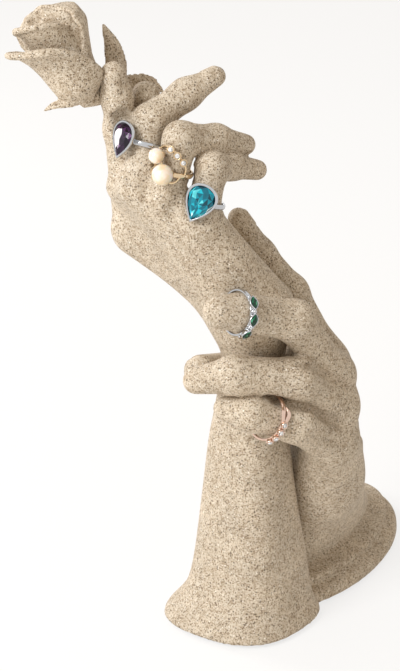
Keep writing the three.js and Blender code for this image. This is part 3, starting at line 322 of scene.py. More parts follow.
# The hands in mm of the drawing: how wide the fingers melt into the palm, the palm's bones (start,
# end, radii), the fingers' joints (place, radius) and the sections of the forearm
RAISED = {
    "web": 5,
    "palm": [
        ((24.5, -3, 160), (0.5, -13, 202.2), 11.8, 8.4),
        ((23.5, -1, 159.5), (-13, -12, 212), 12.6, 8.4),
        ((19.5, 2, 158.5), (-25.5, -7, 216), 13.5, 8.6),
        ((16, 6, 159.5), (-30, 6, 211), 12.5, 8.6),
        ((13.5, 9, 161), (-26, 14, 188.5), 12.3, 11.7),
    ],
    "fingers": {
        "little": [((1, -15, 204), 7), ((4.5, -11, 225), 6.4), ((13, 0, 222), 5.4), ((23.8, 9.4, 217), 4.3)],
        "ring": [((-13.5, -14, 213), 7.2), ((-8, -12, 238), 6.6), ((6.5, 0, 233.5), 6), ((18.8, 9.3, 228.2), 4.4)],
        "middle": [((-25, -8, 217), 7.6), ((-20.5, -2, 242), 7), ((-6, 8, 250.5), 6.2), ((6.4, 15.1, 256), 4.3)],
        "index": [((-31, 8, 213), 7.4), ((-33, 4, 236.5), 6.5), ((-34, 0, 251.5), 6), ((-35.2, -2, 262), 5.4)],
        "thumb": [((-26, 14, 191), 9.8), ((-30, 17, 215), 7.2), ((-22.5, 11, 249), 6)],
    },
    "forearm": [
        (-4, 19.5, 10, 34.5, 30.2, 0, 0.04),
        (3, 19.5, 10, 34.5, 30.2, 0, 0.04),
        (6, 19.5, 10, 33, 29.4, 0, 0.04),
        (12, 21, 10, 29.4, 27.6, 0, 0.045),
        (18, 22.3, 10, 27, 26, 0, 0.05),
        (31, 22.8, 10, 24.6, 24, 0, 0.05),
        (64, 22, 9, 20.3, 21, 0, 0.045),
        (93, 21.8, 7.5, 17.4, 18.2, 0, 0.03),
        (110, 22.5, 6.5, 15.5, 17, 0, 0.015),
        (131, 23.2, 5, 13.8, 16, 0, 0),
        (146, 23, 4, 14, 16, 0, 0),
        (158, 21, 2, 12.5, 13, 0, 0),
    ],
    # Nails: finger, way up, length, half width and how far past the last bone they start
    "nails": [
        ("index", (-0.2, -1, 0.1), 9, 4.1, 2.2), ("thumb", (0.3, 1, 0.35), 10, 4.8, 2.6),
        ("middle", (-0.4, -0.5, 0.8), 8.5, 3.7, 2.4),
    ],
    # Lines on the back: start, end, width and height of a tendon, or of a hollow between two
    # knuckles where the height is below zero
    "lines": [
        ((-26.5, -16.7, 218.4), (-20.8, -11.2, 197), 2.6, 0.7),
        ((-17.5, -20.5, 216.3), (-9.9, -17.8, 194.3), 2.8, 0.8),
        ((-6.1, -20, 210.9), (0, -20.9, 192.8), 2.8, 0.7),
        ((-29.9, -10.5, 228), (-27, -16.5, 211), 2.3, -1.1),
        ((-22.5, -15, 226), (-21.5, -19.5, 207), 2.4, -1.1),
        ((-8, -19.5, 220), (-13.5, -21.3, 205), 3.2, -1.4),
        ((-38, 9, 209), (-34.5, 13, 196), 3.2, 1.5),
        ((-38.6, 6, 219), (-38.6, 9, 210.5), 2.6, -0.9),
    ],
    "mouldings": [],
    # The corners of the grid that its skin is made on
    "span": ((-46, -25, -2), (58, 55, 271)),
}

CLASPING = {
    "web": 9,
    "palm": [
        ((57, 34, 66), (57, 15, 124), 12, 8.4),
        ((57, 30, 64), (57.6, 6, 122), 12, 9),
        ((56.5, 28, 62), (58.4, 3, 107), 12.2, 9),
        ((55.5, 26, 60), (57.5, 4, 90), 12.2, 9),
        ((50, 42, 72), (36, 40, 100), 13, 10),
        ((50, 32, 80), (46, 17, 126), 12, 10.5),
    ],
    "fingers": {
        "index": [((54.2, 17, 128), 8), ((40, 20, 157), 6.9), ((26.4, 21, 174.4), 6), ((16.6, 21, 190.8), 4.7)],
        "middle": [((57.4, 3, 125), 8.4), ((39.6, -14, 158), 8.5), ((18, -26, 167), 8), ((8, -30, 169), 7)],
        "ring": [((59, 2, 110), 8.7), ((41, -18, 133), 8.8), ((15, -25, 138), 8), ((-1.5, -22, 134), 5.8)],
        "little": [((58.6, 4, 91), 9), ((41, -20, 113.5), 8.8), ((22, -26, 120.5), 7.6), ((11, -24.5, 122), 5.4)],
        "thumb": [((36, 40, 98), 9.5), ((14, 30, 114.5), 8.4), ((0.3, -4.5, 130.4), 7)],
    },
    "forearm": [
        (-4, 53, 66.5, 36, 64, 30, 0),
        (4, 53, 66.5, 36, 64, 30, 0),
        (6.5, 53, 66.5, 34.5, 62.5, 30, 0),
        (8.5, 53, 66.5, 31, 59, 30, 0),
        (12, 53, 66.5, 28.5, 56, 30, 0),
        (14.5, 53, 66, 22.5, 49, 30, 0),
        (18, 53.5, 64, 21, 46, 30, 0),
        (30, 56, 55, 19, 36, 28, 0),
        (45, 58, 43, 17, 27, 25, 0),
        (56, 58.3, 35.5, 15, 20, 18, 0),
        (68, 58, 30, 13.6, 16, 8, 0),
        (78, 58, 25, 11, 13, 0, 0),
    ],
    "nails": [
        ("index", (0.8, 0.5, 0.5), 9, 4, 2.4), ("middle", (-0.5, -1, 0.3), 9, 4.6, 3.4),
        ("ring", (-0.6, -1, -0.1), 9, 4.2, 2.6), ("little", (-0.3, -1, -0.2), 7, 3.6, 2.2),
        ("thumb", (-1, -0.3, 0.2), 10, 5, 3.4),
    ],
    # The same, with the slits between the fingers, which run far in
    "lines": [
        ((66, 0, 120), (71, 20, 80), 2.6, 0.6),
        ((68, -2, 106), (70, 20, 76), 2.6, 0.6),
        ((67, 0, 90), (69, 20, 70), 2.6, 0.6),
        ((42, -23, 142), (66, -1.3, 121.6), 1.5, -6, True),
        ((31, -25.5, 125.6), (46, -22.5, 121.5), 1.4, -5, True),
        ((39, -25, 124), (63.5, -6, 105.2), 1.6, -7, True),
        ((43, -28, 115), (62, -8, 96), 2.6, -1.2),
    ],
    # Mouldings round the foot: height, width and rise
    "mouldings": [(8.2, 1.3, -1.4), (11.8, 1.7, 0.9), (15.4, 1.4, -1.5)],
    "span": ((-12, -41, -2), (102, 134, 201)),
}


def joined(points, bones, melt):
    """Bones (start, end, radii) that melt into each other."""
    return reduce(partial(melted, melt), (round_cone(points, *bone) for bone in bones))


def hand_form(points, hand):
    """A hand on its forearm. The fingers melt into the palm but not into each other."""
    arm = melted(WRIST_MELT, joined(points, hand["palm"], PALM_MELT), limb(points, hand["forearm"]))
    whole = arm
    for joints in hand["fingers"].values():
        bones = [(start, end, r0, r1) for (start, r0), (end, r1) in zip(joints, joints[1:])]
        whole = np.minimum(whole, melted(hand["web"], arm, joined(points, bones, KNUCKLE_MELT)))
    return whole


# Skin: a grid is laid over a form, and each cell that the surface crosses gets one point for each
# sheet of the surface in it. The points are then slid along the surface until they lie evenly.


def sheets_of_cells():
    """For each way that a cell's corners can lie inside or outside, the sheet of each edge."""
    table = -np.ones((256, 12), int)
    for code in range(256):
        inside = [bool(code >> c & 1) for c in range(8)]
        group = list(range(12))

        def root(e):
            while group[e] != e:
                e = group[e]
            return e

        def edge(axis, corner):
            return axis * 4 + (corner >> (axis + 1) % 3 & 1) + 2 * (corner >> (axis + 2) % 3 & 1)

        for axis, high in product(range(3), range(2)):
            base, u, w = high << axis, 1 << (axis + 1) % 3, 1 << (axis + 2) % 3
            corners = [base, base | u, base | u | w, base | w]
            sides = ((1, base), (2, base | u), (1, base | w), (2, base))
            edges = [edge((axis + turn) % 3, corner) for turn, corner in sides]
            crossed = [e for n, e in enumerate(edges) if inside[corners[n]] != inside[corners[(n + 1) % 4]]]
            if len(crossed) == 2:
                group[root(crossed[0])] = root(crossed[1])
            if len(crossed) == 4:
                for n, corner in enumerate(corners):
                    if inside[corner]:
                        group[root(edges[n])] = root(edges[n - 1])
        roots = []
        for axis, corner in product(range(3), range(8)):
            if inside[corner] != inside[corner | 1 << axis]:
                top = root(edge(axis, corner))
                if top not in roots:
                    roots.append(top)
                table[code, edge(axis, corner)] = roots.index(top)
    return table


SHEETS = sheets_of_cells()
# How fine the first, coarse sampling of a form is, in mm, how near the surface it is sampled again,
# and in what portions
COARSE_STEP = 3.6
REACH = 5.0
PORTION = 200000


def sampled(form, low, count, step):
    """The form's values on a grid, worked out only near its surface."""
    ratio = max(1, round(COARSE_STEP / step))
    few = [n // ratio + 2 for n in count]
    lines = [low[a] + np.arange(few[a]) * step * ratio for a in range(3)]
    coarse = np.stack(np.meshgrid(*lines, indexing="ij"), -1)
    rough = form(coarse.reshape(-1, 3)).reshape(few)
    near = [np.minimum(np.round(np.arange(count[a]) / ratio).astype(int), few[a] - 1) for a in range(3)]
    values = rough[np.ix_(*near)].copy()
    where = np.argwhere(np.abs(values) < REACH)
    for part in np.array_split(where, max(1, len(where) // PORTION)):
        values[tuple(part.T)] = form(low + part * step)
    return values


def slope(form, points, probe=0.15):
    """The direction in which the form rises at each point."""
    sides = []
    for axis in range(3):
        step = np.zeros(3)
        step[axis] = probe
        sides.append((form(points + step) - form(points - step)) / (2 * probe))
    return np.stack(sides, -1)


def pulled_onto(form, points, most=0.6):
    """The points moved onto the surface."""
    rise = slope(form, points)
    steep = np.maximum(np.linalg.norm(rise, axis=1), 0.2)
    move = np.clip(form(points) / steep, -most, most) / steep
    return points - rise * move[:, None]


def skin(form, low, high, step, turns=3):
    """A closed mesh on the surface of a form: its points in mm and its four-sided faces."""
    low = np.array(low, float)
    count = [int(math.ceil((high[a] - low[a]) / step)) + 1 for a in range(3)]
    values = sampled(form, low, count, step)
    inside = values < 0
    code = np.zeros([n - 1 for n in count], int)
    for c in range(8):
        i, j, k = c & 1, c >> 1 & 1, c >> 2 & 1
        code |= inside[i : i + count[0] - 1, j : j + count[1] - 1, k : k + count[2] - 1].astype(int) << c
    cells = np.argwhere((code > 0) & (code < 255))
    codes = code[tuple(cells.T)]
    number = -np.ones(code.shape, int)
    number[tuple(cells.T)] = np.arange(len(cells))
    sums = np.zeros((len(cells), 4, 3))
    hits = np.zeros((len(cells), 4))
    for axis, a, b in product(range(3), range(2), range(2)):
        sheet = SHEETS[codes, axis * 4 + a + 2 * b]
        crossed = np.flatnonzero(sheet >= 0)
        near = cells[crossed].copy()
        near[:, (axis + 1) % 3] += a
        near[:, (axis + 2) % 3] += b
        far = near.copy()
        far[:, axis] += 1
        first, second = values[tuple(near.T)], values[tuple(far.T)]
        place = low + near * step
        place[:, axis] += step * first / (first - second)
        sums[crossed, sheet[crossed]] += place
        hits[crossed, sheet[crossed]] += 1
    used = hits > 0
    ids = -np.ones(hits.shape, int)
    ids[used] = np.arange(used.sum())
    points = sums[used] / hits[used][:, None]
    faces = []
    for axis in range(3):
        shifted = [slice(1, -1)] * 3
        shifted[axis] = slice(2, None)
        turned = np.argwhere(inside[1:-1, 1:-1, 1:-1] != inside[tuple(shifted)]) + 1
        loop = []
        for a, b in ((0, 0), (1, 0), (1, 1), (0, 1)):
            cell = turned.copy()
            cell[:, (axis + 1) % 3] -= a
            cell[:, (axis + 2) % 3] -= b
            at = number[tuple(cell.T)]
            loop.append(ids[at, SHEETS[codes[at], axis * 4 + a + 2 * b]])
        loop = np.stack(loop, -1)
        outwards = inside[tuple(turned.T)]
        faces.append(np.where(outwards[:, None], loop, loop[:, ::-1]))
    faces = np.concatenate(faces)
    for _ in range(turns):
        totals = np.zeros_like(points)
        met = np.zeros(len(points))
        for n in range(4):
            np.add.at(totals, faces[:, n], points[faces[:, (n + 1) % 4]] + points[faces[:, n - 1]])
            np.add.at(met, faces[:, n], 2)
        points = pulled_onto(form, points + (totals / met[:, None] - points) * 0.5)
    return points, faces


def mesh_object(name, points, faces, finish, smooth=True):
    """A mesh object from points in mm of the drawing."""
    mesh = bpy.data.meshes.new(name)
    mesh.from_pydata(((np.asarray(points) + DRAWING_SHIFT) * MM).tolist(), [], [list(map(int, f)) for f in faces])
    mesh.materials.append(look(finish))
    mesh.polygons.foreach_set("use_smooth", [smooth] * len(mesh.polygons))
    mesh.update()
    obj = bpy.data.objects.new(name, mesh)
    bpy.context.scene.collection.objects.link(obj)
    return obj


def piece(name, points, faces, body, finish, nodes, smooth=True):
    """A mesh object that rides a body and stands for CAD nodes."""
    obj = mesh_object(name, points, faces, finish, smooth)
    settle(obj, body, nodes)
    return obj


def settle(obj, body, nodes):
    """Ties a finished piece to its body and the CAD nodes that it stands for."""
    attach(obj, body)
    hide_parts(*nodes)


def select_only(obj):
    """Makes an object the active one, with nothing else selected."""
    bpy.ops.object.select_all(action="DESELECT")
    obj.select_set(True)
    bpy.context.view_layer.objects.active = obj


# Solids built from loops of points


def facing_out(points, faces):
    """The faces, turned over if they point inwards."""
    points = np.asarray(points)
    volume = 0.0
    for face in faces:
        for b, c in zip(face[1:-1], face[2:]):
            volume += points[face[0]] @ np.cross(points[b], points[c])
    return faces if volume > 0 else [tuple(reversed(face)) for face in faces]


def loft(loops, two_faces=False):
    """A closed skin over loops with equally many points. Its ends are closed by one face each, or
    by strips where a loop runs out and back along two faces."""
    loops = np.array(loops, float)
    rows, around = loops.shape[:2]
    last = (rows - 1) * around
    faces = []
    for row in range(0, last, around):
        for n in range(around):
            a, b = row + n, row + (n + 1) % around
            faces.append((a, b, b + around, a + around))
    if two_faces:
        for n in range(around // 2 - 1):
            a, b, c, d = n, n + 1, around - 2 - n, around - 1 - n
            faces.append((a, d, c, b))
            faces.append((last + a, last + b, last + c, last + d))
    else:
        faces.append(tuple(reversed(range(around))))
        faces.append(tuple(range(last, last + around)))
    points = loops.reshape(-1, 3)
    return points, facing_out(points, faces)


def together(parts):
    """Several closed skins as one list of points and one of faces."""
    points, faces = [], []
    for more, sides in parts:
        start = sum(len(p) for p in points)
        points.append(np.asarray(more, float))
        faces += [tuple(start + n for n in face) for face in sides]
    return np.concatenate(points), faces


def unit(vector):
    """The direction of a vector."""
    vector = np.array(vector, float)
    return vector / np.linalg.norm(vector)


def curve_through(spots, count):
    """Points on a smooth curve through spots, with the direction at each."""
    spots = np.array(spots, float)
    ends = np.concatenate([[2 * spots[0] - spots[1]], spots, [2 * spots[-1] - spots[-2]]])
    share = np.linspace(0, len(spots) - 1, count)
    i = np.minimum(share.astype(int), len(spots) - 2)
    t = (share - i)[:, None]
    p0, p1, p2, p3 = (ends[i + n] for n in range(4))
    bend, twist = 2 * p0 - 5 * p1 + 4 * p2 - p3, 3 * p1 - p0 - 3 * p2 + p3
    line = 0.5 * (2 * p1 + (p2 - p0) * t + bend * t**2 + twist * t**3)
    ahead = np.gradient(line, axis=0)
    return line, ahead / np.linalg.norm(ahead, axis=1)[:, None]


def rod(spots, radii, sides=12, count=24, upright=(0, 0, 1)):
    """A round rod through spots, with the radius at each."""
    line, ahead = curve_through(spots, count)
    share = np.linspace(0, len(spots) - 1, count)
    radius = np.interp(share, range(len(spots)), radii)
    loops = []
    side = np.cross(ahead[0], upright)
    for place, forward, r in zip(line, ahead, radius):
        side = side - forward * (side @ forward)
        side /= np.linalg.norm(side)
        up = np.cross(side, forward)
        angles = np.arange(sides) * 2 * np.pi / sides
        loops.append(place + r * (np.cos(angles)[:, None] * side + np.sin(angles)[:, None] * up))
    return loft(loops)


# Half widths across and thicknesses up, round the section
LEAF_SECTION = [(-1, 0), (-0.5, -0.4), (0, -0.25), (0.5, -0.4), (1, 0), (0.5, 0.6), (0, 0.5), (-0.5, 0.6)]


def leaf(path, width, thickness, face, rows=20):
    """A leaf: a lens-shaped section with a groove along a curved middle line."""
    line, ahead = curve_through(path, rows)
    loops = []
    for n, (place, forward) in enumerate(zip(line, ahead)):
        side = unit(np.cross(forward, face))
        out = np.cross(side, forward)
        swell = math.sin(math.pi * (0.2 + 0.78 * n / (rows - 1))) ** 0.8
        half, high = width * swell * side, thickness * math.sqrt(swell) * out
        loops.append([place + a * half + b * high for a, b in LEAF_SECTION])
    return loft(loops)


# Rose: the same petals as the solid part, drawn with more rows and with a rolled rim

ROSE_BASE = np.array([-47.5, 0, 253.8])
ROSE_AXIS = unit((-0.48, -0.1, 0.87))
ROSE_FRONT = unit(np.cross(ROSE_AXIS, (-0.87, 0, -0.48)))
ROSE_LEFT = np.cross(ROSE_FRONT, ROSE_AXIS)
PETAL_THICKNESS = 1.9
PETAL_SHARES = [0, 0.05, 0.14, 0.32, 0.52, 0.7, 0.86, 1]
PETAL_ROWS, PETAL_COLUMNS, BEAD_STEPS, BUD_COLUMNS = 26, 48, 60, 72
# The bead: its share of the petal's height and of its thickness, and how far it is let down
BEAD_AT, BEAD_DEPTH, BEAD_DROP = 0.985, 0.35, 0.5
# A petal: the side that it faces, its spread to both sides, its height, how far its sides drop, its
# offset, how it winds and tucks in, its radii, its tip (side, width, rise, reach) and its rim
# (radius of the bead and how much it swells at the tip).
PETALS = [
    (48, 112, 31, 0.85, 0, 0.22, 0, (5, 8.8, 10.8, 11.6, 12.1, 12.9, 14.5, 17.4), (12, 46, 2.6, 4.4), (2, -0.25)),
    (240, 90, 39.2, 0.16, 0, -0.05, 0.6, (5, 8.2, 9.8, 11, 14, 17, 16, 4), (230, 60, 0.4, 0), (1.1, 0.35)),
    (60, 98, 39, 0.26, 0.6, 0.26, 0, (4, 7, 8.4, 8.6, 8.8, 9.1, 10, 10.6), (10, 36, 0.8, 1.6), (1.35, 0.35)),
    (284, 62, 28, 0.35, 0, 0.07, 0, (5, 8.8, 10.6, 10.8, 11, 11.4, 11.8, 12.2), (300, 36, 1, 1), (1.3, 0.35)),
    (245, 165, 38.6, 0.13, 0.8, 0.1, 0, (2, 3, 4, 4.6, 4.9, 4.9, 4.9, 4.8), (300, 30, 0, 0), (1.05, 0.35)),
]
CALYX_LIFT, CALYX_HALF, CALYX_RADIUS = 2.25, 4.5, 9.6
STEM = [((-48, 0, 252.5), 5.2), ((-42.5, 3, 251.8), 4.5), ((-37, 8, 251), 3.2), ((-31, 7, 249.5), 1.8)]
LEAVES = [
    ([(-34.4, 7, 248.5), (-34.4, 7.5, 260), (-35.6, 8, 270), (-39.6, 8, 280.5)], 5, 3, (0.25, -1, 0.1)),
    ([(-46, -2, 252), (-52.5, -5, 251), (-59, -6, 250.2), (-63.8, -6, 247.6)], 2.6, 2.2, (0.2, -0.6, 0.9)),
    ([(-45, 4, 253), (-49, 11, 251), (-55, 17, 251), (-61, 21, 255)], 4, 2.2, (-0.5, 0.4, 0.8)),
    ([(-33.5, 8, 249.5), (-32.5, 15, 250), (-28, 20.5, 251), (-21, 22, 251), (-15, 21.5, 247)], 5, 1.8, (0, -1, 0.25)),
]

# The bud: the side of its back, how far it reaches round from there at full and at no width, and
# its rows (height at the front and back, radius at the front and back, shift of the eye)
BUD_BACK, BUD_REACH = 252, (78, 108)
BUD = [
    (9, 9, 4, 8.5, 0), (14, 14, 6, 11.5, 0), (20, 20, 6.3, 13.6, 0), (27.4, 27.4, 6.2, 15.8, 0),
    (31, 33, 6, 14.8, 0), (34.4, 36.2, 5.8, 9.4, 0.3), (36, 38.4, 5, 5.8, 0.7), (36.2, 39.3, 4.4, 4.6, 0.8),
    (35.6, 38.6, 3.6, 3.6, 0.9), (33.2, 34.5, 2.8, 2.8, 1), (31.5, 31.5, 1, 1, 1),
]


def petal_spots(petal, u, v, depth):
    """Spots of a petal at shares u of its height and v across it, at a depth into the cup."""
    side, spread, height, drop, offset, spiral, tuck, radii, (tip_side, tip_width, tip_rise, tip_reach), _ = petal
    degrees = side + v * spread
    angle = np.radians(degrees)
    near_tip = np.maximum(0, 1 - np.abs(degrees - tip_side) / tip_width) * u**4
    share = u * (1 - drop * np.abs(v) ** 2.2)
    wound = (1 + spiral * v) * (1 - tuck * np.maximum(v, 0) ** 2)
    radius = np.interp(share, PETAL_SHARES, radii) * wound - depth + tip_reach * near_tip
    rise = height * share + tip_rise * near_tip
    left, front = radius * np.cos(angle) + offset * u, radius * np.sin(angle)
    return ROSE_BASE + rise[:, None] * ROSE_AXIS + left[:, None] * ROSE_LEFT + front[:, None] * ROSE_FRONT


def petal_skins(petal):
    """A petal as a closed skin, and the bead of its rolled rim."""
    v = np.linspace(-1, 1, PETAL_COLUMNS)
    loops = []
    for u in np.linspace(0, 1, PETAL_ROWS):
        row = np.full(len(v), u)
        loops.append(np.concatenate([petal_spots(petal, row, v, 0), petal_spots(petal, row, -v, PETAL_THICKNESS)]))
    v = np.linspace(-0.97, 0.97, BEAD_STEPS)
    rim = petal_spots(petal, np.full(len(v), BEAD_AT), v, PETAL_THICKNESS * BEAD_DEPTH) - BEAD_DROP * ROSE_AXIS
    near_tip = np.exp(-(((petal[0] + v * petal[1] - petal[8][0]) / petal[8][1]) ** 2))
    radius, tip_swell = petal[-1]
    bead = rod(rim, radius * (1 - 0.35 * np.abs(v) ** 3) * (1 + tip_swell * near_tip), 10, len(v))
    return [loft(loops, True), bead]


def rose_ring(angles):
    """Directions square to the rose's axis."""
    return np.cos(angles)[:, None] * ROSE_LEFT + np.sin(angles)[:, None] * ROSE_FRONT


def calyx_skin():
    """The swollen cup under the petals."""
    ring = rose_ring(np.arange(40) * 2 * np.pi / 40)
    loops = []
    for lift in np.linspace(-0.97, 0.97, 15):
        centre = ROSE_BASE + ROSE_AXIS * (CALYX_LIFT + CALYX_HALF * lift)
        loops.append(centre + CALYX_RADIUS * math.sqrt(1 - lift * lift) * ring)
    return loft(loops)


def bud_skin():
    """The closed petals in the middle: low and narrow at the front, high and wide at the back, with
    a shallow eye in the top."""
    degrees = np.arange(BUD_COLUMNS) * 360 / BUD_COLUMNS
    away = np.abs((degrees - BUD_BACK + 180) % 360 - 180)
    share = np.clip((BUD_REACH[1] - away) / (BUD_REACH[1] - BUD_REACH[0]), 0, 1)
    share = share * share * (3 - 2 * share)
    ring = rose_ring(np.radians(degrees))
    loops = []
    for front_height, back_height, front_radius, back_radius, shift in BUD:
        height = front_height + (back_height - front_height) * share
        radius = front_radius + (back_radius - front_radius) * share
        centre = ROSE_BASE + shift * (ROSE_LEFT + ROSE_FRONT)
        loops.append(centre + height[:, None] * ROSE_AXIS + radius[:, None] * ring)
    return loft(loops)


# Rings. In the frame of a ring x points out of its head, z along the finger and y across.

RING_WALL = 1.2
RING_WIDTH = 2.2
COLLET_WALL = 0.7
# The gaps between a band and its finger, a ring and its channel, and a stone and its collet
FIT_GAP, CHANNEL_GAP, STONE_GAP = 0.3, 0.6, 0.3
UPWARDS, FORWARDS = (0.9, 0, 0.3), (0, -0.9, 0.44)

# A ring: hand, finger, bone, share of the bone, tilt, slack, the side it tilts to, the side its head
# faces, its travel, its collar, and the room of its head (height, half width, from, to).
RINGS = {
    "amethyst": (RAISED, "middle", 0, 0.66, 4, 0, UPWARDS, (-0.8, -0.6, 0), 4, 0, (6, 8.2, -8.8, 7.6)),
    "pearl": (RAISED, "ring", 0, 0.48, 4, 0, UPWARDS, (-0.54, -0.84, 0), 1.5, 0, (11, 8.5, -5, 12)),
    "topaz": (RAISED, "little", 0, 0.36, 8, 0, UPWARDS, (-0.3, -0.95, 0), 4, 0, (6.5, 7.6, -9, 8.5)),
    "emerald": (CLASPING, "middle", 2, 0.24, 14, 0.3, FORWARDS, (0.49, -0.86, -0.14), 5, 0, (4, 9.6, -3, 3)),
    "rose_gold": (CLASPING, "little", 1, 0.66, 20, 0.3, FORWARDS, (0.5, -0.8, -0.32), 4, 2, (3.6, 9, -3.5, 4.5)),
}


def ring_frame(key):
    """The centre of a ring, its three directions as rows, the line it slides along and its bore."""
    hand, finger, bone, share, tilt, slack, toward, head = RINGS[key][:8]
    (start, start_radius), (end, end_radius) = hand["fingers"][finger][bone : bone + 2]
    along = unit(np.subtract(end, start))
    aside = unit(toward - along * np.dot(toward, along))
    lean = math.radians(tilt)
    axis = along * math.cos(lean) + aside * math.sin(lean)
    out = unit(head - axis * np.dot(head, axis))
    flesh = start_radius + (end_radius - start_radius) * share + slack
    bore = flesh / math.cos(lean) + RING_WIDTH / 2 * math.tan(lean) + FIT_GAP
    centre = np.add(start, np.subtract(end, start) * share)
    return centre, np.array([out, np.cross(axis, out), axis]), along, bore


def ring_room(points, key):
    """The space that a ring needs to slide, as a form."""
    centre, turn, along, bore = ring_frame(key)
    tilt, (travel, collar, (height, half_width, start, end)) = math.radians(RINGS[key][4]), RINGS[key][8:]
    x, y, z = turn @ (points - centre).T
    out, across, axis = turn @ along
    x, y = x - z * out / axis, y - z * across / axis
    reach = travel * axis
    half = RING_WIDTH / 2 + CHANNEL_GAP + collar
    inner = bore - FIT_GAP * 0.7 - RING_WIDTH / 2 * math.tan(tilt)
    around = np.hypot(x, y)
    outer = bore + RING_WALL + CHANNEL_GAP * (2 if collar else 1)
    tube = np.maximum.reduce([inner - around, around - outer, -half - z, z - half - reach])
    middle = (start + end) / 2
    level = z - middle - np.clip(z - middle, 0, reach)
    widen = np.clip(0.7 + 0.3 * (x - bore) / 2, 0.7, 1)
    y_share = np.abs(y) / ((half_width + CHANNEL_GAP) * widen)
    z_share = np.abs(level) / (((end - start) / 2 + CHANNEL_GAP) * widen)
    outline = ((y_share**3 + z_share**3) ** (1 / 3) - 1) * half_width
    head = np.maximum.reduce([outline, inner - x, x - inner - height - CHANNEL_GAP])
    return np.minimum(tube, head)


OUTLINES = {
    "pear": lambda t: (np.cos(t), np.sin(t) * np.sin(t / 2) * 1.3),
    "marquise": lambda t: (np.cos(t), np.sign(np.sin(t)) * np.sin(t) ** 2),
    "round": lambda t: (np.cos(t), np.sin(t)),
}


class Stone:
    """A cut stone: its outline, sizes, its place on the head, and its turns on and round the head."""

    def __init__(self, kind, length, width, height, foot, y=0.0, z=0.0, turn=0.0, round_turn=0.0):
        self.kind, self.length, self.width, self.height, self.foot = kind, length, width, height, foot
        self.y, self.z, self.turn, self.round_turn = y, z, math.radians(turn), math.radians(round_turn)

    def loop(self, x, scale, margin, count, start=0.0):
        """Points round the stone at height x."""
        a, b = OUTLINES[self.kind]((np.arange(count) + start) % count * 2 * np.pi / count)
        along, aside = a * (self.length / 2 * scale + margin), b * (self.width / 2 * scale + margin)
        right = along * math.cos(self.turn) - aside * math.sin(self.turn) + self.y
        up = along * math.sin(self.turn) + aside * math.cos(self.turn) + self.z
        out = np.full(count, float(x))
        cos, sin = math.cos(self.round_turn), math.sin(self.round_turn)
        return np.stack([out * cos - right * sin, out * sin + right * cos, up], -1)


# The facets of a stone from culet to table: share of the height, scale, half step round the stone
FACETS = [
    (0, 0.1, 0), (0.25, 0.62, 0.5), (0.52, 1, 0), (0.6, 1, 0),
    (0.84, 0.84, 0.5), (1, 0.64, 0), (1, 0.34, 0.5), (1, 0.03, 0),
]


def cut_stone(stone, count):
    """The facets of a stone."""
    loops = [stone.loop(stone.foot + stone.height * share, scale, 0, count, step) for share, scale, step in FACETS]
    points = np.concatenate(loops)
    faces = []
    for row in range(len(loops) - 1):
        below, above = row * count, (row + 1) * count
        ahead = FACETS[row][2] > 0
        for n in range(count):
            m = (n + 1) % count
            if FACETS[row][2] == FACETS[row + 1][2]:
                faces.append((below + n, below + m, above + m, above + n))
            elif ahead:
                faces += [(below + n, below + m, above + m), (below + n, above + m, above + n)]
            else:
                faces += [(below + n, below + m, above + n), (below + m, above + m, above + n)]
    faces.append(tuple(reversed(range(count))))
    faces.append(tuple(range(len(points) - count, len(points))))
    return points, facing_out(points, faces)


def collet(stone, bottom, count=48, wall=COLLET_WALL):
    """The rim that holds a stone: up its outside, over its rounded lip and down inside."""
    girdle, rim = stone.foot + stone.height * 0.5, stone.foot + stone.height * 0.68
    full = STONE_GAP + wall
    rows = [
        (bottom, 0.6, wall),
        (girdle - 0.5, 0.95, full),
        (girdle, 1, full),
        (rim - 0.15, 1, full),
        (rim + 0.05, 1, full - 0.14),
        (rim + 0.1, 1, full - 0.4),
        (rim + 0.02, 1, 0.06),
        (rim - 0.2, 1, -0.04),
        (girdle, 0.98, -0.1),
        (stone.foot, 0.4, 0),
    ]
    return loft([stone.loop(x, scale, margin, count) for x, scale, margin in rows])


def fresh(add_primitive, **settings):
    """Adds a primitive at the origin with nothing else selected."""
    bpy.ops.object.select_all(action="DESELECT")
    add_primitive(location=(0, 0, 0), **settings)
    return bpy.context.object


def taken(obj):
    """The points in mm and the faces of an object, which is removed."""
    points = np.array([v.co for v in obj.data.vertices]) / MM
    faces = [tuple(p.vertices) for p in obj.data.polygons]
    bpy.data.meshes.remove(obj.data)
    return points, faces


def shank(bore, start=0, end=360):
    """A band with a flat inside and a domed outside, whole or open, with rounded ends."""
    middle = bore + RING_WALL / 2
    torus = fresh(
        bpy.ops.mesh.primitive_torus_add,
        major_segments=96,
        minor_segments=16,
        major_radius=middle * MM,
        minor_radius=RING_WALL / 2 * MM,
    )
    if end - start < 360:
        bpy.ops.object.mode_set(mode="EDIT")
        bpy.ops.mesh.select_all(action="DESELECT")
        bpy.ops.object.mode_set(mode="OBJECT")
        for face in torus.data.polygons:
            turn = math.degrees(math.atan2(face.center.y, face.center.x)) % 360
            face.select = not start <= turn + (360 if turn < start else 0) <= end
        bpy.ops.object.mode_set(mode="EDIT")
        bpy.ops.mesh.delete(type="FACE")
        bpy.ops.mesh.select_all(action="SELECT")
        bpy.ops.mesh.region_to_loop()
        bpy.ops.mesh.edge_face_add()
        bpy.ops.object.mode_set(mode="OBJECT")
    points, faces = taken(torus)
    around = np.hypot(points[:, 0], points[:, 1])
    off = (around - middle) / (RING_WALL / 2)
    off = np.where(off < 0, -(np.abs(off) ** 0.35), off)
    points[:, :2] *= ((middle + off * RING_WALL / 2) / around)[:, None]
    points[:, 2] *= RING_WIDTH / RING_WALL
    return points, facing_out(points, faces)


# Small relief on the hands, added to the form

NAIL_RISE, NAIL_GROOVE = 0.3, 0.26
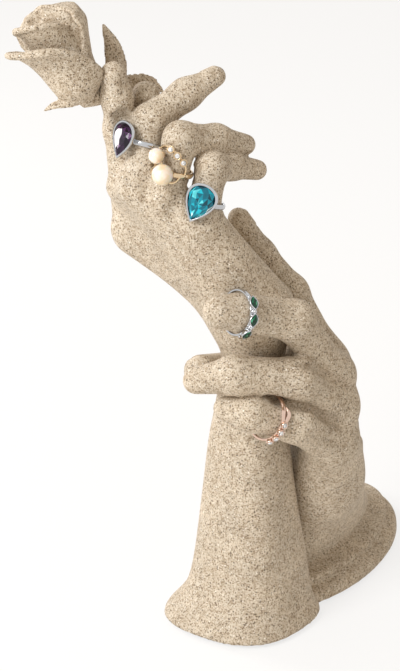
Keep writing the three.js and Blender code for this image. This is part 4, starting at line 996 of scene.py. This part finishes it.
# The way into a slit, and how much less a step that way counts
SLIT_INTO, SLIT_STRETCH = unit((0.1, -0.93, 0.36)), 0.8
# In mm: how deep relief is worked out, how far from a ring its room is, and how round its edge is
RELIEF_REACH, ROOM_REACH, ROOM_EDGE = 8, 24, 0.8


def nail(points, hand, finger, up, length, width, forward):
    """A finger nail: a low plate with a groove along its sides and root."""
    start, end = (np.array(spot, float) for spot, _ in hand["fingers"][finger][-2:])
    ahead = unit(end - start)
    up = np.array(up, float)
    up = unit(up - ahead * (up @ ahead))
    away = points - end
    s, h, t = away @ ahead - forward, away @ up, away @ np.cross(ahead, up)
    corner = width * 0.55
    past = np.maximum(np.abs(s + length / 2) - (length / 2 - corner), 0)
    beside = np.maximum(np.abs(t) - (width - corner), 0)
    out = np.hypot(past, beside) - corner
    on_top = 1 / (1 + np.exp(-(h - 1.2) * 2.5))
    plate = NAIL_RISE / (1 + np.exp(np.minimum((out + 0.5) * 4, 60)))
    groove = NAIL_GROOVE * np.exp(-(((out - 0.25) / 0.55) ** 2)) * (s < 0.2)
    return (plate - groove) * on_top


def ridge(points, start, end, width, height, slit=False):
    """A soft ridge along a line, such as a tendon, or a slit that runs far in."""
    start, end = np.array(start, float), np.array(end, float)
    axis = end - start
    t = np.clip((points - start) @ axis / (axis @ axis), 0, 1)
    off = points - start - t[:, None] * axis
    if slit:
        off -= SLIT_STRETCH * (off @ SLIT_INTO)[:, None] * SLIT_INTO
    away = np.linalg.norm(off, axis=1)
    return height * np.exp(-((away / width) ** 2)) * np.sin(np.pi * np.clip(t, 0.02, 0.98)) ** 0.5


def dressed_hand(points, hand):
    """The hand's form with its relief, above its pad, less the room in which the rings slide."""
    value = hand_form(points, hand)
    close = np.abs(value) < RELIEF_REACH
    near = points[close]
    relief = sum(nail(near, hand, *shape) for shape in hand["nails"])
    relief = sum((ridge(near, *line) for line in hand["lines"]), relief)
    for middle, width, rise in hand["mouldings"]:
        relief = relief + rise * np.exp(-(((near[:, 2] - middle) / width) ** 2))
    value[close] -= relief
    for ring in RINGS:
        close = (value < 3) & (np.linalg.norm(points - ring_frame(ring)[0], axis=1) < ROOM_REACH)
        value[close] = -melted(ROOM_EDGE, -value[close], ring_room(points[close], ring))
    return np.maximum(value, PAD_TOP - points[:, 2])


def cast_hand(key, hand):
    """Models a hand on its forearm in resin."""
    points, faces = skin(partial(dressed_hand, hand=hand), *hand["span"], bpy.context.scene.display_casting.facet)
    piece(f"{key}_hand", points, faces, "display", "resin", [f"{key}_hand_casting"])


class DisplayCastingProperties(bpy.types.PropertyGroup):
    facet: bpy.props.FloatProperty(
        name="Facet", description="Facet size on the hands, in mm", default=1.15, min=0.6, max=4
    )


class DISPLAY_OT_raised_hand(bpy.types.Operator):
    """Model the raised hand on the front forearm"""

    bl_idname = "display.raised_hand"
    bl_label = "Raised hand"

    def execute(self, context):
        cast_hand("raised", RAISED)
        return {"FINISHED"}


class DISPLAY_OT_clasping_hand(bpy.types.Operator):
    """Model the clasping hand on the rear forearm"""

    bl_idname = "display.clasping_hand"
    bl_label = "Clasping hand"

    def execute(self, context):
        cast_hand("clasping", CLASPING)
        return {"FINISHED"}


class DisplayRoseProperties(bpy.types.PropertyGroup):
    grain: bpy.props.FloatProperty(
        name="Grain", description="Grain of the clay that the rose is joined from, in mm", default=0.6, min=0.4, max=2
    )
    softening: bpy.props.IntProperty(
        name="Softening", description="How often the rose is smoothed", default=5, min=0, max=30
    )


class DISPLAY_OT_rose(bpy.types.Operator):
    """Model the rose, its stem and its leaves"""

    bl_idname = "display.rose"
    bl_label = "Rose"

    def execute(self, context):
        props = context.scene.display_rose
        skins = [skin_part for petal in PETALS for skin_part in petal_skins(petal)]
        skins += [calyx_skin(), bud_skin(), rod([spot for spot, _ in STEM], [radius for _, radius in STEM], 24)]
        skins += [leaf(*shape) for shape in LEAVES]
        rose = mesh_object("rose", *together(skins), "resin")
        select_only(rose)
        for kind, settings in (
            ("REMESH", {"mode": "VOXEL", "voxel_size": props.grain * MM, "use_smooth_shade": True}),
            ("SMOOTH", {"factor": 0.5, "iterations": props.softening}),
        ):
            change = rose.modifiers.new(kind, kind)
            for setting, value in settings.items():
                setattr(change, setting, value)
            bpy.ops.object.modifier_apply(modifier=change.name)
        bpy.ops.object.mode_set(mode="EDIT")
        bpy.ops.mesh.select_all(action="SELECT")
        bpy.ops.mesh.separate(type="LOOSE")
        bpy.ops.object.mode_set(mode="OBJECT")
        # The remesh leaves a small closed shell in each hollow, so only the outer one is kept
        *inner, outer = sorted(context.selected_objects, key=lambda obj: len(obj.data.vertices))
        for shell in inner:
            bpy.data.meshes.remove(shell.data)
        outer.name = "rose"
        settle(outer, "display", ["rose_casting"])
        return {"FINISHED"}


# Pieces of the rings

# How far a pear stone and a small setting start above the finger, the wall of a small collet, the
# wires' radius, and the angle from which an edge is sharp
PEAR_LIFT, SEAT_LIFT = 1.4, 0.4
SMALL_WALL, WIRE_RADIUS = 0.3, 0.5
EDGE_ANGLE = math.radians(38)


def ornament_spot(spot, radius):
    """A spot (degrees round the finger, z, rise) over a radius."""
    degrees, z, rise = spot
    angle = math.radians(degrees)
    return (radius + rise) * math.cos(angle), (radius + rise) * math.sin(angle), z


def on_finger(parts, key):
    """Skins in the frame of a ring, set on the finger."""
    points, faces = together(parts)
    centre, turn, _, _ = ring_frame(key)
    return centre + points @ turn, faces


def setting(key, parts, finish):
    """The metal of a ring as one piece, smooth but for its edges."""
    points, faces = on_finger(parts, key)
    ring = f"{key}_ring"
    obj = piece(f"{ring}_setting", points, faces, ring, finish, [f"{ring}_band"])
    select_only(obj)
    bpy.ops.object.shade_smooth_by_angle(angle=EDGE_ANGLE)


def gem(key, name, node, stone, glass, count, seed, painted_flash=None):
    """A cut stone as one piece, with a painted reflection tint for each facet, from dark to pale. The optional painted
    highlight (tint, from, to, from, to) is a pale reflection painted on the table facets in that span."""
    _, _, slot_name, painted_facet_tints = GLASSES[glass]
    local, faces = cut_stone(stone, count)
    points, _ = on_finger([(local, faces)], key)
    ring = f"{key}_ring"
    obj = piece(f"{ring}_{name}", points, faces, ring, glass, [f"{ring}_{node}"], smooth=False)
    luck = random.Random(seed)
    shades = obj.data.color_attributes.new("facet", "FLOAT_COLOR", "CORNER")
    for face in obj.data.polygons:
        # Each facet gets a painted reflection tint, dark to pale, drawn at random from the palette.
        tint = luck.choices([code for code, _ in painted_facet_tints], [weight for _, weight in painted_facet_tints])[0]
        x, y, z = local[list(face.vertices)].mean(0)
        on_table = x > stone.foot + stone.height * 0.99
        # Table facets in the span get the pale tint of a painted reflection.
        if painted_flash and on_table and painted_flash[1] < y < painted_flash[2] and painted_flash[3] < z < painted_flash[4]:
            tint = painted_flash[0]
        for corner in face.loop_indices:
            shades.data[corner].color = colour(tint)


def gems(key, name, node, stones, glass, seed=0):
    """Small stones in a row."""
    for n, stone in enumerate(stones, 1):
        gem(key, f"{name}_{n}", f"{node}_{n}", stone, glass, 8, seed + n)


def ball(radius, segments, rings):
    """A round ball: its points in mm and its faces."""
    return taken(fresh(bpy.ops.mesh.primitive_uv_sphere_add, segments=segments, ring_count=rings, radius=radius * MM))


def metal_leaf(spots, width, high):
    """A small leaf of metal through spots round the finger."""
    path = [ornament_spot(spot, high) for spot in spots]
    return leaf(path, width, 0.9, (path[1][0], path[1][1], 0), 12)


def dish(x, y, z, radius, bottom, count=28):
    """The shallow cup that a pearl is glued in."""
    angles = np.arange(count) * 2 * np.pi / count
    rim, wide = x - radius * 0.72, radius * 0.72
    rows = [(bottom, wide * 0.7), (rim - 0.3, wide * 0.98), (rim, wide), (rim + 0.12, wide * 0.95)]
    return loft(
        [np.stack([np.full(count, height), y + w * np.cos(angles), z + w * np.sin(angles)], -1) for height, w in rows]
    )


def pear_ring(key, length, width, height, count, seed, painted_flash=None, **place):
    """A silver ring with one pear-cut stone in a collet."""
    bore = ring_frame(key)[3]
    stone = Stone("pear", length, width, height, bore + PEAR_LIFT, **place)
    setting(key, [shank(bore), collet(stone, bore + FIT_GAP)], "silver")
    gem(key, "gem", "stone", stone, key, count, seed, painted_flash)


class DISPLAY_OT_amethyst_ring(bpy.types.Operator):
    """Model the ring with the purple pear-cut stone"""

    bl_idname = "display.amethyst_ring"
    bl_label = "Amethyst ring"

    def execute(self, context):
        # A painted reflection: a pale patch painted on the left of the table.
        painted_flash = ("#f2eff7", -7, -1.4, -3.6, 3.4)
        pear_ring("amethyst", 14, 12, 3.8, 12, 3, painted_flash, y=-1.8, z=-0.6, turn=266)
        return {"FINISHED"}


class DISPLAY_OT_topaz_ring(bpy.types.Operator):
    """Model the ring with the broad blue pear-cut stone"""

    bl_idname = "display.topaz_ring"
    bl_label = "Topaz ring"

    def execute(self, context):
        pear_ring("topaz", 15, 11.4, 4.4, 10, 11, turn=260)
        return {"FINISHED"}


# Pearls (rise, y, z, radius), crystals (degrees, z), and wires and leaves through spots (degrees, z,
# rise), each leaf with its width
PEARLS = {"small_pearl": (4, -2.8, 6, 3.3), "large_pearl": (5, 2.8, 0.1, 4.4)}
CRYSTAL_SPOTS = [(8, 10.2), (27, 8.6), (45, 6.4)]
WIRES = [
    [
        (66, 0.2, -0.5), (60, 3.6, 0.3), (45, 6.4, 0.5), (27, 8.6, 0.5), (8, 10.2, 0.5), (-16, 10.2, 0.5),
        (-36, 7.4, 0.4), (-46, 3.6, 0.2), (-52, 0.4, -0.5),
    ],
    [(-41, 6, 0.3), (-24, 6, 0.5), (-12, 3.4, 0.3), (0, 0.4, -0.4)],
    [(2, -0.2, -0.4), (14, -2, 0.2), (28, -3.4, 0.3), (42, -2.6, 0.1), (54, -0.2, -0.5)],
]
GOLD_LEAVES = [
    ([(-20, 0, -0.2), (-25, -2.4, 0.5), (-22, -5, 1.2)], 1.5),
    ([(-32, 0, -0.2), (-38, -1.6, 0.4), (-38, -3.6, 0.9)], 1.2),
]
ROSE_GOLD_LEAVES = [
    ([(26, 0.8, 0.2), (44, 1.9, 0.6), (64, 1.1, 0)], 1.1),
    ([(26, -0.8, 0.2), (44, -1.7, 0.6), (62, -0.9, 0)], 1.1),
    ([(98, 0, 0), (116, -0.6, 0.3), (136, -0.4, 0.1)], 1.6),
]


class DISPLAY_OT_pearl_ring(bpy.types.Operator):
    """Model the gold ring with two pearls, three crystals, wires and leaves"""

    bl_idname = "display.pearl_ring"
    bl_label = "Pearl ring"

    def execute(self, context):
        bore = ring_frame("pearl")[3]
        high = bore + RING_WALL
        metal = [shank(bore)]
        for spots in WIRES:
            path = [ornament_spot(spot, high) for spot in spots]
            metal.append(rod(path, [WIRE_RADIUS] * len(path), 10, 60, (0.9, 0.1, 0.2)))
        metal += [metal_leaf(spots, width, high) for spots, width in GOLD_LEAVES]
        crystals = [Stone("round", 2.2, 2.2, 1.6, high + 1, z=z, round_turn=turn) for turn, z in CRYSTAL_SPOTS]
        metal += [collet(crystal, high - WIRE_RADIUS / 2, 24, SMALL_WALL) for crystal in crystals]
        for name, (rise, y, z, radius) in PEARLS.items():
            metal.append(dish(high + rise, y, z, radius, bore + SEAT_LIFT))
            points, faces = ball(radius, 48, 28)
            # A pearl is a little uneven, in rings as it grew, and never larger than its solid
            growth = np.cos(9 * np.arccos(np.clip(points[:, 0] / radius, -1, 1)))
            points *= (1 + 0.002 * growth - 0.004)[:, None]
            points, faces = on_finger([(points + (high + rise, y, z), faces)], "pearl")
            piece(f"pearl_ring_{name}_dressed", points, faces, "pearl_ring", "pearl", [f"pearl_ring_{name}"])
        setting("pearl", metal, "gold")
        gems("pearl", "gem", "crystal", crystals, "crystal")
        return {"FINISHED"}


class DISPLAY_OT_emerald_ring(bpy.types.Operator):
    """Model the ring with three green marquise stones and clear stones between them"""

    bl_idname = "display.emerald_ring"
    bl_label = "Emerald ring"

    def execute(self, context):
        bore = ring_frame("emerald")[3]
        foot = bore + RING_WALL
        greens = [Stone("marquise", 5.3, 3.4, 2, foot, round_turn=turn) for turn in (-27, 11, 49)]
        clears = [Stone("round", 1.1, 1.1, 1.4, foot, round_turn=turn) for turn in (-8, 30)]
        metal = [shank(bore)]
        metal += [collet(stone, bore + SEAT_LIFT, 32, SMALL_WALL) for stone in greens + clears]
        for turn in (-46, -8, 30, 66):
            for z in (-1.2, 1.2):
                points, faces = ball(0.42, 12, 8)
                points[:, 0] *= 1.5
                metal.append((points + ornament_spot((turn, z, 0.35), foot), faces))
        setting("emerald", metal, "silver")
        gems("emerald", "gem", "stone", greens, "emerald")
        gems("emerald", "clear_gem", "clear_stone", clears, "crystal")
        return {"FINISHED"}


class DISPLAY_OT_rose_gold_ring(bpy.types.Operator):
    """Model the open rose gold ring with its leaf spray and four clear stones"""

    bl_idname = "display.rose_gold_ring"
    bl_label = "Rose gold ring"

    def execute(self, context):
        bore = ring_frame("rose_gold")[3]
        high = bore + RING_WALL
        stones = [Stone("round", 2.2, 2.2, 1.7, high, round_turn=turn) for turn in (-34, -16, 2, 20)]
        metal = [shank(bore, 161, 499)]
        metal += [metal_leaf(spots, width, high) for spots, width in ROSE_GOLD_LEAVES]
        metal += [collet(stone, bore + SEAT_LIFT, 24, SMALL_WALL) for stone in stones]
        setting("rose_gold", metal, "rose_gold")
        gems("rose_gold", "gem", "stone", stones, "crystal", 20)
        return {"FINISHED"}


class DISPLAY_OT_foot_pads(bpy.types.Operator):
    """Give the two foot pads their foam"""

    bl_idname = "display.foot_pads"
    bl_label = "Foot pads"

    def execute(self, context):
        for name in ("front_foot_pad", "rear_foot_pad"):
            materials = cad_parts[name].data.materials
            materials.clear()
            materials.append(look("foam"))
        return {"FINISHED"}


# Studio, in metres. The eye and the aim are those of the photograph, in the drawing.

EYE, AIM = (0, -0.8222, 0.5111), (0, 0, 0.145)
FLOOR_WHITE = 0.75
FILL = {"Color": (1, 0.88, 0.74, 1), "Strength": 0.59}
WHITE = {"Color": (1, 1, 1, 1), "Strength": 1}


class DisplayStudioProperties(bpy.types.PropertyGroup):
    lens: bpy.props.FloatProperty(
        name="Lens", description="Focal length of the camera, in mm", default=112.3, min=20, max=300, unit="CAMERA"
    )
    key_power: bpy.props.FloatProperty(
        name="Key light", description="Power of the key light, in W", default=13.3, min=0, unit="POWER"
    )


def seen(node):
    """One for rays from the camera, from gloss and through glass, which see a white background."""
    path = node("LightPath")
    either = node("Math", operation="MAXIMUM", _0=(path, "Is Camera Ray"), _1=(path, "Is Glossy Ray"))
    return node("Math", operation="MAXIMUM", _0=either, _1=(path, "Is Transmission Ray"))


def stand(name, data, spot, aim):
    """Links a lamp or camera into the scene at a spot, looking at its aim."""
    obj = bpy.data.objects.new(name, data)
    bpy.context.scene.collection.objects.link(obj)
    obj.location = spot
    obj.rotation_euler = (Vector(aim) - Vector(spot)).to_track_quat("-Z", "Y").to_euler()
    return obj


class DISPLAY_OT_studio(bpy.types.Operator):
    """Set up the floor, the lights, the white background and the camera"""

    bl_idname = "display.studio"
    bl_label = "Studio"

    def execute(self, context):
        scene = context.scene
        props = scene.display_studio
        scene.view_settings.view_transform = "Standard"
        floor = fresh(bpy.ops.mesh.primitive_plane_add, size=6)
        floor.name = "floor"
        material, node = blank(bpy.data.materials, "studio_floor")
        share = node("Math", operation="MULTIPLY", _0=seen(node), _1=FLOOR_WHITE)
        matte = node("BsdfPrincipled", Base_Color=colour("#f6f5f3"), Roughness=0.5)
        node("OutputMaterial", Surface=node("MixShader", _0=share, _1=matte, _2=node("Emission", **WHITE)))
        floor.data.materials.append(material)
        scene.world, node = blank(bpy.data.worlds, "studio_world")
        fill, white = node("Background", **FILL), node("Background", **WHITE)
        node("OutputWorld", Surface=node("MixShader", _0=seen(node), _1=fill, _2=white))
        for name, spot, aim, size, power, tint in (
            ("key_light", (-0.75, -0.75, 0.95), (0, 0, 0.15), 0.5, props.key_power, (0.97, 0.985, 1)),
            ("rim_light", (-0.7, 0.55, 0.5), (0, 0, 0.16), 0.4, 4, (1, 0.98, 0.98)),
        ):
            lamp = bpy.data.lights.new(name, "AREA")
            lamp.shape, lamp.size, lamp.energy, lamp.color = "DISK", size, power, tint
            stand(name, lamp, spot, aim)
        shift = Vector(DRAWING_SHIFT * MM)
        camera = bpy.data.cameras.new("camera")
        camera.lens, camera.sensor_width = props.lens, 36
        scene.camera = stand("camera", camera, Vector(EYE) + shift, Vector(AIM) + shift)
        return {"FINISHED"}


class DISPLAY_PT_parts(bpy.types.Panel):
    """The pieces of the display"""

    bl_idname = "DISPLAY_PT_parts"
    bl_label = "Hand jewelry display"
    bl_space_type = "VIEW_3D"
    bl_region_type = "UI"
    bl_category = "Display"

    def draw(self, context):
        for name, group in GROUPS.items():
            box = self.layout.box()
            for field in group.__annotations__:
                box.prop(getattr(context.scene, name), field)
        for step in OPERATORS:
            self.layout.operator(step.bl_idname)


GROUPS = {
    "display_finish": DisplayFinishProperties,
    "display_casting": DisplayCastingProperties,
    "display_rose": DisplayRoseProperties,
    "display_studio": DisplayStudioProperties,
}
OPERATORS = [
    DISPLAY_OT_raised_hand,
    DISPLAY_OT_clasping_hand,
    DISPLAY_OT_rose,
    DISPLAY_OT_amethyst_ring,
    DISPLAY_OT_pearl_ring,
    DISPLAY_OT_topaz_ring,
    DISPLAY_OT_emerald_ring,
    DISPLAY_OT_rose_gold_ring,
    DISPLAY_OT_foot_pads,
    DISPLAY_OT_studio,
]
CLASSES = [*GROUPS.values(), *OPERATORS, DISPLAY_PT_parts]


def register():
    for cls in CLASSES:
        bpy.utils.register_class(cls)
    for name, group in GROUPS.items():
        setattr(bpy.types.Scene, name, bpy.props.PointerProperty(type=group))


def unregister():
    for name in GROUPS:
        delattr(bpy.types.Scene, name)
    for cls in reversed(CLASSES):
        bpy.utils.unregister_class(cls)


def main():
    register()
    bpy.ops.display.raised_hand()
    bpy.ops.display.clasping_hand()
    bpy.ops.display.rose()
    bpy.ops.display.amethyst_ring()
    bpy.ops.display.pearl_ring()
    bpy.ops.display.topaz_ring()
    bpy.ops.display.emerald_ring()
    bpy.ops.display.rose_gold_ring()
    bpy.ops.display.foot_pads()
    bpy.ops.display.studio()


if __name__ == "__main__":
    main()
